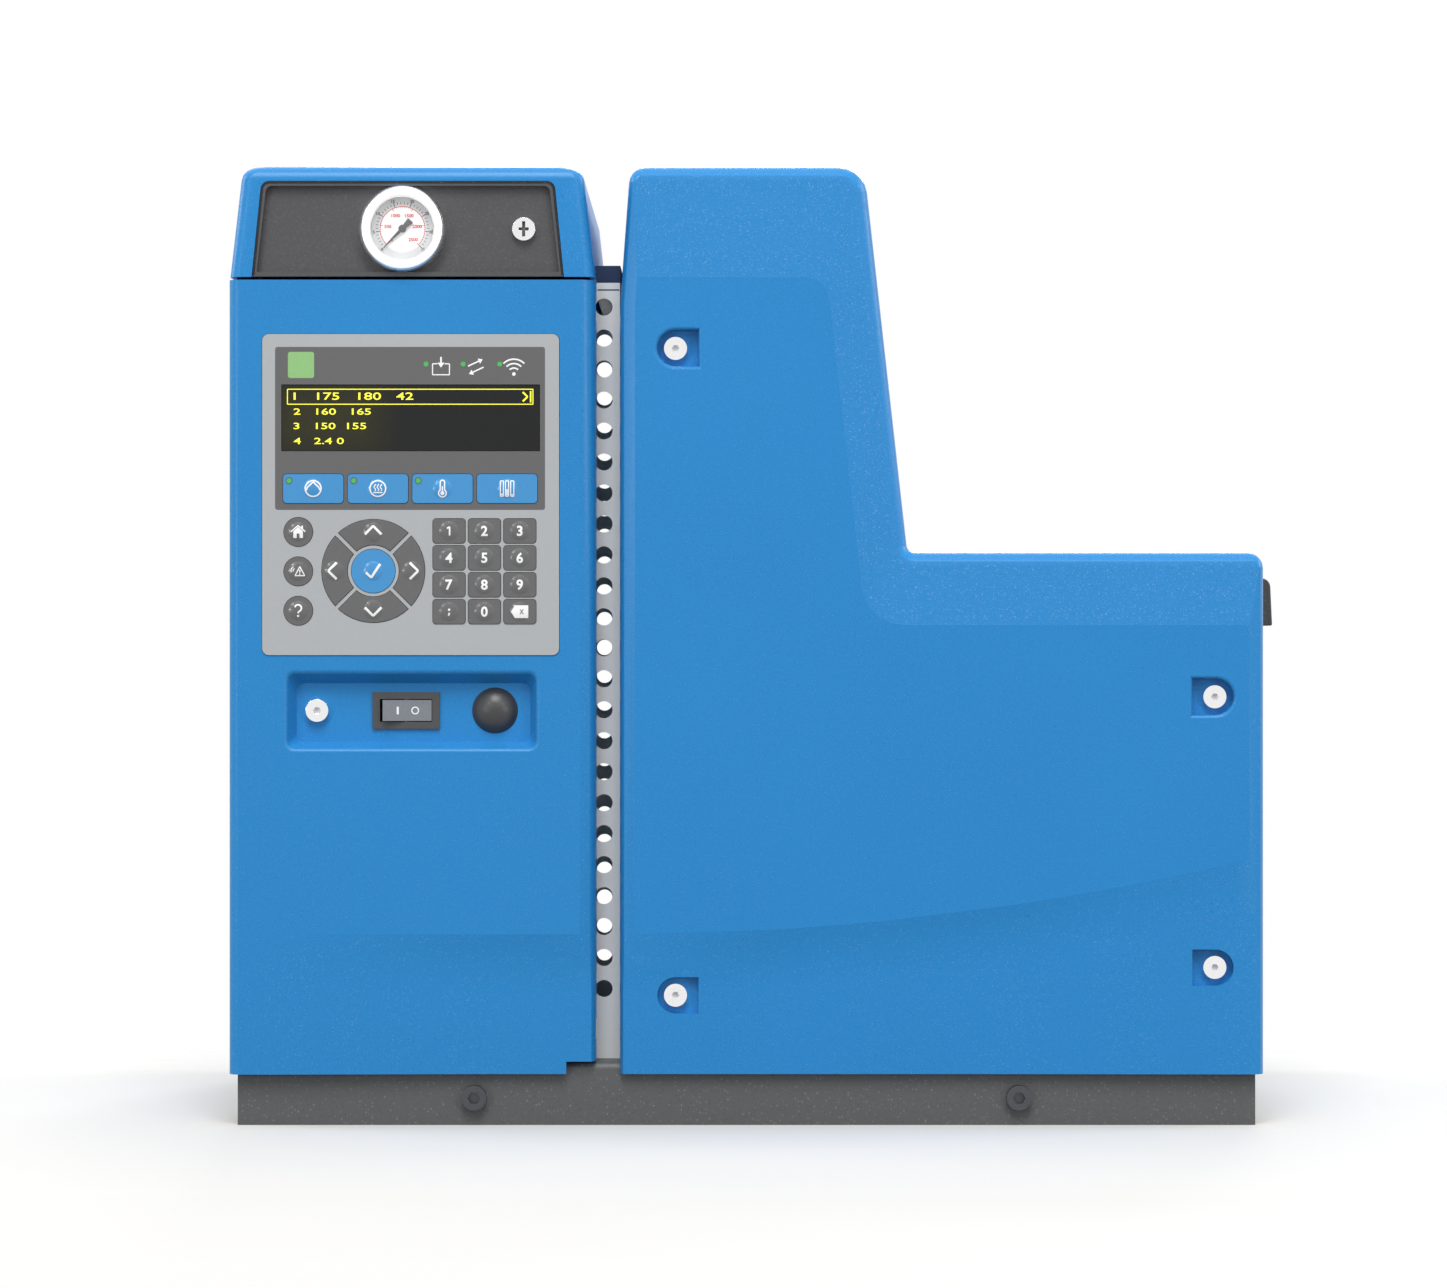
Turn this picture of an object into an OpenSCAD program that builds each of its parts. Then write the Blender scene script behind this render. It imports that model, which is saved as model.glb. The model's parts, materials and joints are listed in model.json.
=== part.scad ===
// Hot melt glue unit: a bench-standing melter with an electrical enclosure and
// control panel on the left, an air gap with a perforated divider, and the pump,
// manifold and heated tank under an L-shaped cover on the right.
// Front faces -Y, +Z is up, and the origin is the centre of the base on the bench.

/* [Base] */
// Width of the base pan
base_w = 531; // [500:1:600]
// Depth of the base pan
base_d = 304; // [290:1:340]
// Height of the base pan
base_h = 33; // [28:1:45]
// Sheet thickness of the base pan
base_t = 2.5; // [2:0.5:4]
// Outer bend radius of the base pan
base_bend = 4; // [3.5:0.5:6]
// Width of the pan's bottom return flanges
base_return = 30; // [24:1:40]
// Mounting hole spacing, left to right
bolt_dx = 470; // [440:1:490]
// Mounting hole spacing, front to back
bolt_dy = 274; // [262:1:280]
// Radius of a mounting hole
bolt_r = 4.5; // [3:0.5:6]
// Distance between the two base screws on the front
base_screw_dx = 284; // [200:1:400]
// Height of the base screws
base_screw_z = 14.5; // [12:0.5:18]

/* [Covers] */
// Height of the unit
unit_h = 500; // [490:1:540]
// How far the covers overhang the base at each side
side_lap = 4; // [4:0.5:8]
// How far the cover fronts stand before the base
front_lap = 8; // [8:0.5:14]
// How far the covers hang down over the base
skirt_lap = 6; // [3:0.5:9]
// Wall of the moulded covers
wall = 3; // [2.5:0.5:4]
// Gap between fixed pieces
gap = 0.5; // [0.3:0.1:0.9]
// Radial running clearance of pins
run = 0.05; // [0.02:0.01:0.1]
// Width of the left side
left_w = 191; // [185:1:205]
// Air gap between the left and the right side
vent_gap = 12.5; // [10:0.5:18]

/* [Right cover] */
// Depth of the front cover
cover_d = 62; // [50:1:75]
// Height of the low part over the tank
step_z = 299; // [290:1:310]
// Where the slope of the tall part meets the low part
step_x = 84; // [78:1:90]
// Lean of the tall part's right side
slope_deg = 6.4; // [4:0.2:8]
// Lean of the tall part's left side at the top
draft_deg = 4.2; // [2:0.2:6]
// Where that lean starts
draft_z = 428; // [400:1:430]
// Corner radius at the top right of the tall part
tall_r = 15; // [10:1:22]
// Corner radius at the top left of the tall part
tall_left_r = 9; // [8.5:0.5:12]
// Corner radius at the right end of the low part
low_r = 8.5; // [8.5:0.5:14]
// Inner corner radius between both parts
inner_r = 4; // [2:0.5:10]
// Rounding of the front edges
edge_r = 8; // [6:0.5:8.5]
// Depth of the shallow bevel round the top
band_d = 2.2; // [1:0.2:3.5]
// Width of that bevel on the low part
band_step = 30; // [20:1:40]
// Width of that bevel along the slope
band_slope = 18; // [12:1:24]
// Width of that bevel on the tall part
band_top = 50; // [40:1:60]

/* [Swept ledge] */
// Height of the ledge on the left
ledge_z = 100; // [80:1:120]
// Rise of the ledge to the right end
ledge_rise = 41; // [20:1:55]
// Depth of the ledge
ledge_d = 3; // [1.5:0.5:3.5]
// Height over which the ledge runs out
ledge_h = 32; // [20:1:40]

/* [Screws] */
// Head radius of a cover screw
screw_head_r = 6; // [5:0.5:7]
// Shank radius of a cover screw
screw_r = 3; // [2:0.5:3.5]
// Radius of the round end of a screw pocket
pocket_r = 9.5; // [9:0.5:11]
// Length of the square end of a screw pocket
pocket_l = 12; // [10:1:15]
// Depth of a screw pocket
pocket_d = 8; // [6:0.5:10]
// Left cover screws from the left edge of the cover
screw_in_left = 29; // [26:1:34]
// Right cover screws from the right edge of the cover
screw_in_right = 25.5; // [24:0.5:32]
// Upper left cover screw below the top
screw_top_down = 95; // [88:0.5:110]
// Upper right cover screw below the top of the low part
screw_step_down = 75.5; // [70:0.5:85]
// Lower left cover screw above the base
screw_up_left = 35; // [30:0.5:45]
// Lower right cover screw above the base
screw_up_right = 49.5; // [45:0.5:55]

/* [Door] */
// Thickness of the door front
door_t = 4; // [4:0.5:5]
// Depth of the door's left side
door_side = 45; // [30:1:60]
// Depth of the door's right side and top
door_lip = 20; // [14:1:20]
// Top edge of the door below the top of the unit
door_down = 59.5; // [55:0.5:70]
// Front edge rounding on the left
door_edge_l = 6; // [5:0.5:9]
// Front edge rounding on the right
door_edge_r = 9; // [6:0.5:10]
// Hinge axis from the door's right edge
hinge_in = 8; // [7.5:0.5:9]
// Hinge axis behind the door front
hinge_back = 12; // [11.5:0.5:13]
// Radius of the hinge pins
pin_r = 3; // [2:0.5:3]

/* [Top cap] */
// Seam between the door and the cap
cap_seam = 1.5; // [1:0.5:3]
// How much the cap leans in at each end
cap_lean = 6.5; // [3:0.5:9]
// Rounding of the cap's top edge
cap_r = 7; // [5:0.5:10]
// Distance of the gauge from the left edge
gauge_in = 90.5; // [70:0.5:110]
// Gauge and regulator height above the cap's bottom
gauge_up = 25; // [24.5:0.5:27]
// Distance of the regulator screw from the left edge
regulator_in = 153.5; // [145:0.5:160]
// Outer radius of the gauge bezel
bezel_r = 22.4; // [20:0.2:23]
// Radius of the gauge dial
dial_r = 16; // [12:0.5:17]

/* [Vent divider] */
// Width of the divider flanges
vent_w = 24.3; // [20:0.1:26]
// Sheet thickness of the divider
vent_t = 1.5; // [1:0.5:2.5]
// Divider face behind the cover fronts
vent_back = 28; // [27:1:36]
// Radius of a vent hole
vent_hole_r = 4.5; // [3:0.5:5]
// Pitch of the vent holes
vent_pitch = 16.3; // [12:0.1:17]
// Least plain length at each end of the hole row
vent_end = 24.5; // [20:0.5:40]
// Vent hole line from the cover
vent_hole_in = 8.9; // [7:0.1:10]

/* [Control panel] */
// Width of the control panel
panel_w = 154.4; // [150:0.2:160]
// Height of the control panel
panel_h = 167; // [163:1:175]
// Left edge of the control panel from the left edge of the door
panel_in = 17.6; // [14:0.2:22]
// Top edge of the control panel below the door's top edge
panel_down = 28.3; // [20:0.1:35]
// Corner radius of the control panel
panel_r = 3.5; // [2:0.5:6]
// How far the panel stands proud of the door
panel_proud = 0.6; // [0.2:0.1:1.2]
// Width of the display
display_w = 134; // [120:0.5:136]
// Height of the display
display_h = 34.2; // [28:0.2:36]
// Centre of the display below the panel's top edge
display_down = 43.6; // [40:0.2:46]

/* [Keys] */
// Travel of a key
key_travel = 0.6; // [0.3:0.1:1]
// Gap round a key
key_gap = 0.25; // [0.15:0.05:0.4]
// Width of a number key
num_w = 16.8; // [14:0.2:17.4]
// Height of a number key
num_h = 12.7; // [10:0.1:13]
// Column pitch of the number keys
num_dx = 18.4; // [18.2:0.1:18.8]
// Row pitch of the number keys
num_dz = 14; // [13.8:0.1:14.6]
// Width of a function key
func_w = 31.4; // [26:0.2:32]
// Height of a function key
func_h = 15.1; // [12:0.1:16]
// Pitch of the function keys
func_dx = 33.6; // [33:0.1:34]
// Radius of a round key
round_r = 7.5; // [6:0.1:8]
// Pitch of the round keys
round_dz = 20.5; // [19:0.1:22]
// Radius of the confirm key
ok_r = 11.4; // [9:0.1:12]
// Inner radius of the arrow keys
arrow_r0 = 13.5; // [13.2:0.1:15]
// Outer radius of the arrow keys
arrow_r1 = 26.8; // [24:0.1:27]
// Gap between two arrow keys
arrow_gap = 2.3; // [1.5:0.1:3]
// Radius of the dome on a key
dome_r = 5.4; // [4:0.1:6]
// Height of the dome on a key
dome_h = 1; // [0.5:0.1:1.6]

/* [Switch recess] */
// Width of the recess in the door
recess_w = 131; // [124:1:136]
// Height of the recess
recess_h = 40.6; // [36:0.2:46]
// Left edge of the recess from the left edge of the door
recess_in = 29.6; // [26:0.2:34]
// Top edge of the recess below the control panel
recess_down = 8.6; // [4:0.2:12]
// Depth of the recess
recess_d = 10; // [8:0.5:12]
// Width of the switch frame
switch_w = 35; // [33:0.5:37]
// Height of the switch frame
switch_h = 19.2; // [18:0.2:21]
// Width of the rocker
rocker_w = 25.6; // [22:0.2:26]
// Height of the rocker
rocker_h = 10.9; // [9:0.1:12]
// Tilt of the rocker to each side
rocker_tilt = 9; // [6:0.5:10]
// Radius of the port cap
port_cap_r = 12.1; // [10:0.1:14]

/* [Tank and lid] */
// Width of the tank
tank_w = 142; // [130:1:143]
// Front of the tank behind the front cover
tank_front = 22; // [20:1:34]
// Height of the tank rim
tank_z1 = 255; // [250:1:256]
// Height of the tank underside
tank_z0 = 70; // [66:1:80]
// Wall of the tank
tank_t = 8; // [6:0.5:10]
// Thickness of the tank floor
tank_floor = 25; // [22:1:30]
// Number of melting fins in the tank
fin_count = 5; // [3:1:7]
// Height of the fins
fin_h = 40; // [20:1:60]
// Thickness of the insulation
insulation_t = 10; // [6:0.5:10]
// Height of the lid's skirt
lid_h = 38; // [36:1:42]
// Rounding of the lid's top edge
lid_edge = 6; // [4:0.5:7]
// Corner radius of the lid
lid_r = 8; // [7.5:0.5:12]
// Lid hinge axis from the slope's foot
lid_hinge_in = 12; // [11:0.5:14]
// Lid hinge axis below the lid's top
lid_hinge_down = 7.5; // [7.5:0.5:9]
// Outer radius of the lid's hinge barrel
barrel_r = 7; // [5:0.5:7]
// Width of the lid grip
grip_w = 120; // [80:1:140]
// How far the grip stands out
grip_d = 18; // [14:0.5:24]
// Height of the grip
grip_h = 26; // [22:0.5:30]

/* [Pump and manifold] */
// Pump axis from the left edge of the right side
pump_in = 66; // [62:1:70]
// Pump axis in depth
pump_y = -10; // [-20:1:10]
// Bore radius of the air cylinder
air_bore_r = 36; // [28:1:40]
// Wall of the air cylinder
air_wall = 4; // [3:0.5:6]
// Bottom of the air cylinder
air_z0 = 290; // [285:1:300]
// Length of the air cylinder
air_h = 74; // [72:1:110]
// Radius of the pump shaft
shaft_r = 6; // [4:0.5:8]
// Stroke of the pump
stroke = 19; // [10:1:20]
// Bottom of the manifold
manifold_z0 = 60; // [55:1:66]
// Height of the manifold
manifold_h = 60; // [54:1:66]
// Radius of a hose stud
hose_r = 7.14; // [6:0.02:9]
// Length of a hose stud
hose_l = 14; // [12:1:18]
// Distance between the hose studs
hose_dx = 44; // [40:1:48]

/* [Rear connections] */
// Bore radius of the air inlet
inlet_r = 5.7; // [4:0.1:7]
// Bore radius of the cable gland
gland_r = 5.5; // [4:0.1:7]
// Width of a hose socket
socket_w = 40; // [36:1:44]
// Height of a hose socket
socket_h = 34; // [30:1:38]
// Depth of a hose socket
socket_d = 20; // [16:1:22]

/* [Hidden] */
$fn = 48;
eps = 0.01;
skin = 0.05;
thin = 2;
num_corner = 1.7;
func_corner = 2;
left_x = -base_w / 2 - side_lap;
right_x = base_w / 2 + side_lap;
front_y = -base_d / 2 - front_lap;
rear_y = base_d / 2;
door_x1 = left_x + left_w;
cover_x0 = door_x1 + vent_gap;
skirt_z = base_h - skirt_lap;
door_z1 = unit_h - door_down;
seam_y = front_y + cover_d;

// Vent divider and enclosure
vent_x1 = cover_x0 - gap;
vent_x0 = vent_x1 - vent_w;
vent_y = front_y + vent_back;
vent_z1 = door_z1 + 0.5;
vent_count = floor((vent_z1 - base_h - 2 * vent_end) / vent_pitch) + 1;
vent_rear_x = vent_x0 + vent_w * 0.37;
vent_hole_z = base_h + (vent_z1 - base_h - vent_pitch * (vent_count - 1)) / 2 + 12;
encl_x0 = left_x + wall + gap;
encl_x1 = vent_x0;
encl_y0 = front_y + door_side + 3;
encl_z1 = door_z1 - 0.5;
encl_t = 2;
encl_lip = 10;
plate_y = rear_y - 55;

// Door hinge
hinge_x = door_x1 - hinge_in;
hinge_y = front_y + hinge_back;
eye_r = pin_r + 2.5;
eye_h = 20;
tab_t = 3;
tab_low_z = base_h + 15;
tab_high_z = door_z1 - 16.5;
tab_gap = 0.3;
pin_head_r = pin_r + 1.5;

// Control panel stack, counted back from the door front
panel_x0 = left_x + panel_in;
panel_z1 = door_z1 - panel_down;
panel_flange = 6;
panel_y0 = front_y - panel_proud;
panel_y1 = front_y + door_t + thin;
board_y = panel_y1 + 0.8;
board_t = 1.6;
key_y0 = panel_y0 - 0.4;
key_y1 = board_y - key_travel - 0.1;
display_x = panel_x0 + panel_w / 2;
display_z = panel_z1 - display_down;

// Keys as name, outline, centre and turn
num_x = panel_x0 + 97.2;
num_z = panel_z1 - 102.4;
func_x = panel_x0 + 26.6;
func_z = panel_z1 - 80.4;
round_x = panel_x0 + 18.8;
round_z = panel_z1 - 102.9;
nav_x = panel_x0 + 57.8;
nav_z = panel_z1 - 123.2;
number_keys = ["key_1", "key_2", "key_3", "key_4", "key_5", "key_6", "key_7", "key_8", "key_9",
    "key_point", "key_0", "key_delete"];
function_keys = ["key_pump", "key_heat", "key_temperature", "key_levels"];
round_keys = ["key_home", "key_alarm", "key_help"];
arrow_keys = ["key_right", "key_up", "key_left", "key_down"];
KEYS = concat(
    [for (i = [0 : 11]) [number_keys[i], "number",
        num_x + (i % 3) * num_dx, num_z - floor(i / 3) * num_dz, 0]],
    [for (i = [0 : 3]) [function_keys[i], "function", func_x + i * func_dx, func_z, 0]],
    [for (i = [0 : 2]) [round_keys[i], "round", round_x, round_z - i * round_dz, 0]],
    [for (i = [0 : 3]) [arrow_keys[i], "arrow", nav_x, nav_z, i * 90]],
    [["key_confirm", "confirm", nav_x, nav_z, 0]]);

// Switch recess
recess_x0 = left_x + recess_in;
recess_z = panel_z1 - panel_h - recess_down - recess_h;
recess_mid_z = recess_z + recess_h / 2;
floor_y = front_y + recess_d;
switch_x = recess_x0 + 62.2;
door_screw_x = recess_x0 + 15.9;
port_x = recess_x0 + 108.6;
switch_t = 1.6;
switch_body = 4;
pivot_y = floor_y + 0.8;
trunnion_r = 1.5;
port_stem_r = 7.8;

// Top cap
cap_z0 = door_z1 + cap_seam;
cap_h = unit_h - cap_z0;
gauge_x = left_x + gauge_in;
gauge_z = cap_z0 + gauge_up;
regulator_x = left_x + regulator_in;
insert_y0 = front_y + 0.8;
insert_floor_y = front_y + 4.5;
insert_y1 = insert_floor_y + wall;
insert_rim = 2.6;
gauge_body_r = 18;
dial_up = 3.5;
regulator_r = 15;

// Cover screws, each with the side its pocket is square on
cover_screws_at = [
    [cover_x0 + screw_in_left, unit_h - screw_top_down, 1],
    [cover_x0 + screw_in_left, base_h + screw_up_left, 1],
    [right_x - screw_in_right, step_z - screw_step_down, -1],
    [right_x - screw_in_right, base_h + screw_up_right, -1]];
lug_t = 4;
boss_r = screw_r + 3.5;

// Tank, lid and hinge
lid_z0 = step_z - lid_h;
lid_hinge_x = step_x + lid_hinge_in;
lid_hinge_z = step_z - lid_hinge_down;
lid_x0 = lid_hinge_x + barrel_r + 1;
lid_y0 = seam_y + gap;
ear_t = 6;
ear_r = barrel_r - 0.5;
lid_recess = 8;
tank_x1 = right_x - wall - gap - insulation_t - 2;
tank_x0 = tank_x1 - tank_w;
tank_y1 = rear_y - wall - gap - insulation_t - 6.5;
tank_y0 = seam_y + tank_front;
tank_l = tank_y1 - tank_y0;
tank_mid_y = (tank_y0 + tank_y1) / 2;
tank_bottom = tank_z0 + tank_floor;
seal_t = tank_t - 2;
heater_r = 6;
heater_z = tank_z0 + tank_floor / 2;
outlet_r = 8;

// Pump and manifold
pump_x = cover_x0 + pump_in;
manifold_x0 = pump_x - 30;
manifold_z1 = manifold_z0 + manifold_h;
manifold_y0 = pump_y - 30;
manifold_y1 = rear_y - 12;
hose_z = manifold_z0 + manifold_h / 2;
hose_x = [for (i = [-1, 1]) pump_x + 18 + i * hose_dx / 2];
plunger_z = manifold_z0 + 25;
plunger_r = 12;
spigot_r = 16;
piston_h = 15;

// Outlines

function unit_vector(v) = v / norm(v);

// Points of the arc that rounds corner p between its neighbours a and b
function corner_arc(a, p, b, r, n) =
    r <= 0 ? [p] :
    let (u = unit_vector(a - p), v = unit_vector(b - p), half = acos(u * v) / 2,
        c = p + unit_vector(u + v) * r / sin(half),
        s = p + u * r / tan(half) - c, e = p + v * r / tan(half) - c,
        start = atan2(s.y, s.x), turn = (atan2(e.y, e.x) - start + 540) % 360 - 180)
    [for (i = [0 : n]) c + r * [cos(start + turn * i / n), sin(start + turn * i / n)]];

// Outline with a radius at each corner
function rounded(points, radii, n = 5) =
    let (m = len(points))
    [for (i = [0 : m - 1])
        each corner_arc(points[(i + m - 1) % m], points[i], points[(i + 1) % m], radii[i], n)];

function rectangle(x0, y0, x1, y1) = [[x0, y0], [x1, y0], [x1, y1], [x0, y1]];

// How far a rounded edge of radius r is drawn in at depth d below its face
function edge_inset(r, d) = d >= r ? 0 : r - sqrt(r * r - (r - d) * (r - d));

function ease(t) = let (c = min(max(t, 0), 1)) c * c * (3 - 2 * c);

// Solid through a row of outlines that each have the same number of points
module loft(rings) {
    n = len(rings[0]);
    m = len(rings);
    polyhedron([for (ring = rings) each ring], concat(
        [[for (i = [0 : n - 1]) i]],
        [[for (i = [n - 1 : -1 : 0]) (m - 1) * n + i]],
        [for (j = [0 : m - 2], i = [0 : n - 1])
            [j * n + i, (j + 1) * n + i, (j + 1) * n + (i + 1) % n, j * n + (i + 1) % n]]));
}

// Extrudes an outline drawn in X and Z from y0 to y1
module along_y(y0, y1) {
    translate([0, y1, 0]) rotate([90, 0, 0]) linear_extrude(y1 - y0) children();
}

// Extrudes an outline drawn in Y and Z from x0 to x1
module along_x(x0, x1) {
    translate([x0, 0, 0]) rotate([90, 0, 90]) linear_extrude(x1 - x0) children();
}

module block(x0, x1, y0, y1, z0, z1) {
    translate([x0, y0, z0]) cube([x1 - x0, y1 - y0, z1 - z0]);
}

// Cylinder along Y, and one along X
module rod_y(x, z, y0, y1, r, sides = 48) {
    translate([x, y1, z]) rotate([90, 0, 0]) cylinder(r = r, h = y1 - y0, $fn = sides);
}

module rod_x(y, z, x0, x1, r) {
    translate([x0, y, z]) rotate([0, 90, 0]) cylinder(r = r, h = x1 - x0);
}

module round_rect(w, h, r) {
    square([w - 2 * r, h], center = true);
    square([w, h - 2 * r], center = true);
    for (x = [-1, 1], z = [-1, 1]) translate([x * (w / 2 - r), z * (h / 2 - r)]) circle(r);
}

// Socket head along -Y with its seat at y
module socket_head(x, z, y, r, h) {
    difference() {
        rod_y(x, z, y - h, y, r);
        rod_y(x, z, y - h - eps, y - h * 0.4, r * 0.5, 6);
    }
}

// Base

module base_section(inset) {
    r = base_bend - inset;
    d = base_d / 2 - inset;
    polygon(rounded(rectangle(-d, inset ? base_t : 0, d, base_h - inset), [0, 0, r, r], 8));
}

module sub_base() {
    color("dimgray") difference() {
        along_x(-base_w / 2, base_w / 2) base_section(0);
        along_x(-base_w / 2 + base_t, base_w / 2 - base_t) base_section(base_t);
        block(-base_w / 2 + base_return, base_w / 2 - base_return,
            -base_d / 2 + base_return, base_d / 2 - base_return, -1, base_t + 1);
        for (x = [-1, 1], y = [-1, 1])
            translate([x * bolt_dx / 2, y * bolt_dy / 2, -1]) cylinder(r = bolt_r, h = base_t + 2);
        for (x = [-1, 1])
            rod_y(x * base_screw_dx / 2, base_screw_z, -base_d / 2 - 1, base_d / 2 + 1, screw_r + 1 + run);
    }
}

module base_screws() {
    color("dimgray") for (x = [-1, 1], side = [0, 1]) rotate([0, 0, side * 180]) {
        socket_head(x * base_screw_dx / 2, base_screw_z, -base_d / 2, 6.5, 5);
        rod_y(x * base_screw_dx / 2, base_screw_z, -base_d / 2, -base_d / 2 + 14, screw_r + 1);
    }
}

// Left side

module vent_divider() {
    color("silver") difference() {
        block(vent_x0, vent_x1, vent_y, rear_y, base_h, vent_z1);
        block(vent_x0 + vent_t, vent_x1 + 1, vent_y + vent_t, rear_y - vent_t, base_h - 1, vent_z1 + 1);
        for (i = [0 : vent_count - 1]) {
            rod_y(cover_x0 - vent_hole_in, vent_hole_z + i * vent_pitch, vent_y - 1, vent_y + vent_t + 1, vent_hole_r);
            rod_y(vent_rear_x, vent_hole_z + i * vent_pitch, rear_y - vent_t - 1, rear_y + 1, vent_hole_r);
        }
    }
}

// Hinge tab on the enclosure, kept clear of the divider's front flange
module hinge_tab(z) {
    translate([0, 0, z]) linear_extrude(tab_t) difference() {
        union() {
            translate([hinge_x, hinge_y]) circle(eye_r - 0.5);
            polygon([[hinge_x - eye_r + 0.5, hinge_y], [hinge_x + eye_r - 0.6, hinge_y],
                [vent_x0 - 1, vent_y - 1.5], [vent_x0 - 1, encl_y0 + eps],
                [vent_x0 - 17, encl_y0 + eps]]);
        }
        translate([hinge_x, hinge_y]) circle(pin_r + run);
    }
}

// Sockets, gland and air inlet on the rear wall of the enclosure
encl_w = encl_x1 - encl_x0;
socket_x = [for (i = [-1, 1]) (encl_x0 + encl_x1) / 2 + i * (socket_w / 2 + 6)];
socket_z = base_h + 150;
gland_x = encl_x0 + 32;
inlet_x = encl_x1 - 32;
gland_z = base_h + 42;
inlet_z = encl_z1 - 50;
gland_body_r = gland_r + 4.5;
inlet_body_r = inlet_r + 3.5;

// Sleeve of the enclosure, and its back plate set against it
module enclosure_box() {
    color("steelblue") {
        difference() {
            block(encl_x0, encl_x1, encl_y0 + encl_t, rear_y - encl_t - gap, base_h, encl_z1);
            block(encl_x0 + encl_t, encl_x1 - encl_t, encl_y0, rear_y, base_h + encl_t, encl_z1 - encl_t);
        }
        difference() {
            block(encl_x0, encl_x1, rear_y - encl_t, rear_y, base_h, encl_z1);
            for (x = socket_x)
                block(x - socket_w / 2 + 3, x + socket_w / 2 - 3, rear_y - encl_t - 1, rear_y + 1,
                    socket_z - socket_h / 2 + 3, socket_z + socket_h / 2 - 3);
            rod_y(gland_x, gland_z, rear_y - encl_t - 1, rear_y + 1, gland_body_r + run);
            rod_y(inlet_x, inlet_z, rear_y - encl_t - 1, rear_y + 1, inlet_body_r + run);
        }
    }
}

// Front frame of the enclosure, with the hinge tabs and the lug for the door screw
module enclosure_frame() {
    color("steelblue") {
        difference() {
            block(encl_x0, encl_x1, encl_y0, encl_y0 + encl_t, base_h, encl_z1);
            block(encl_x0 + encl_lip, encl_x1 - encl_lip, encl_y0 - 1, encl_y0 + encl_t + 1,
                base_h + encl_lip, encl_z1 - encl_lip);
        }
        hinge_tab(tab_low_z);
        hinge_tab(tab_high_z);
        difference() {
            block(encl_x0, door_screw_x + 14, encl_y0, encl_y0 + encl_t, recess_mid_z - 14, recess_mid_z + 14);
            rod_y(door_screw_x, recess_mid_z, encl_y0 - 1, encl_y0 + encl_t + 1, screw_r + 3);
        }
    }
}

module hinge_pins() {
    color("silver") {
        translate([hinge_x, hinge_y, tab_low_z - thin]) {
            cylinder(r = pin_head_r, h = thin);
            cylinder(r = pin_r, h = thin + tab_t + eye_h - thin);
        }
        translate([hinge_x, hinge_y, tab_high_z - eye_h + thin]) {
            cylinder(r = pin_r, h = eye_h + tab_t - thin + eps);
            translate([0, 0, eye_h + tab_t - thin]) cylinder(r = pin_head_r, h = thin);
        }
        rod_y(lid_hinge_x, lid_hinge_z, seam_y + gap, rear_y - wall, pin_r);
    }
}

// Door

module door_plan(inset, y1) {
    x0 = left_x + inset;
    x1 = door_x1 - inset;
    y0 = front_y + (inset ? door_t : 0);
    rl = door_edge_l - inset;
    rr = door_edge_r - inset;
    translate([x0 + rl, y0]) square([x1 - x0 - rl - rr, y1 - y0]);
    translate([x0, y0 + rl]) square([x1 - x0 - rr, y1 - y0 - rl]);
    translate([x0 + rl, y0 + rr]) square([x1 - x0 - rl, y1 - y0 - rr]);
    translate([x0 + rl, y0 + rl]) circle(rl);
    translate([x1 - rr, y0 + rr]) circle(rr);
}

// Ledge line, its depth and the tool that cuts it, from x0 to x1
function ledge_line(x) = ledge_z + ledge_rise * pow(max(0, (x - cover_x0) / (right_x - cover_x0)), 2);
function ledge_depth(x) = ledge_d * ease((x - left_x) / 150)
    * (1 - 0.6 * ease((x - right_x + 170) / 170));
function ledge_ring(x) =
    let (d = ledge_depth(x) + 0.02, z = ledge_line(x))
    concat([[x, front_y - 5, skirt_z - 5], [x, front_y + d, skirt_z - 5]],
        [for (t = [1 : -0.2 : 0]) [x, front_y + d * (1 - pow(1 - t, 2)), z - t * ledge_h]],
        [[x, front_y - 5, z]]);

module ledge_cutter(x0, x1, n) {
    loft([for (i = [0 : n]) ledge_ring(x0 + (x1 - x0) * i / n)]);
}

// Recess with sloped walls, grown by g
module recess_form(g) {
    top = recess_z + recess_h + g;
    loft([for (end = [1, 0])
        [for (p = rounded(rectangle(recess_x0 - g + end * 5, recess_z - g + end * 4,
                recess_x0 + recess_w + g - end * 4, top - end * 6), [4, 4, 4, 4], 4))
            [p.x, end ? floor_y + g : front_y - (g ? 0 : 1), p.y]]]);
}

module panel_outline(grow) {
    translate([panel_x0 + panel_w / 2, panel_z1 - panel_h / 2])
        round_rect(panel_w + 2 * grow, panel_h + 2 * grow, panel_r + max(grow, 0));
}

module hinge_eye(z) {
    difference() {
        union() {
            translate([hinge_x, hinge_y, z]) cylinder(r = eye_r, h = eye_h);
            block(hinge_x - eye_r, hinge_x + eye_r, front_y + door_t - 1, hinge_y, z, z + eye_h);
        }
        translate([hinge_x, hinge_y, z - 1]) cylinder(r = pin_r + run, h = eye_h + 2);
    }
}

eye_low_z = tab_low_z + tab_t + tab_gap;
eye_high_z = tab_high_z - tab_gap - eye_h;

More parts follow.
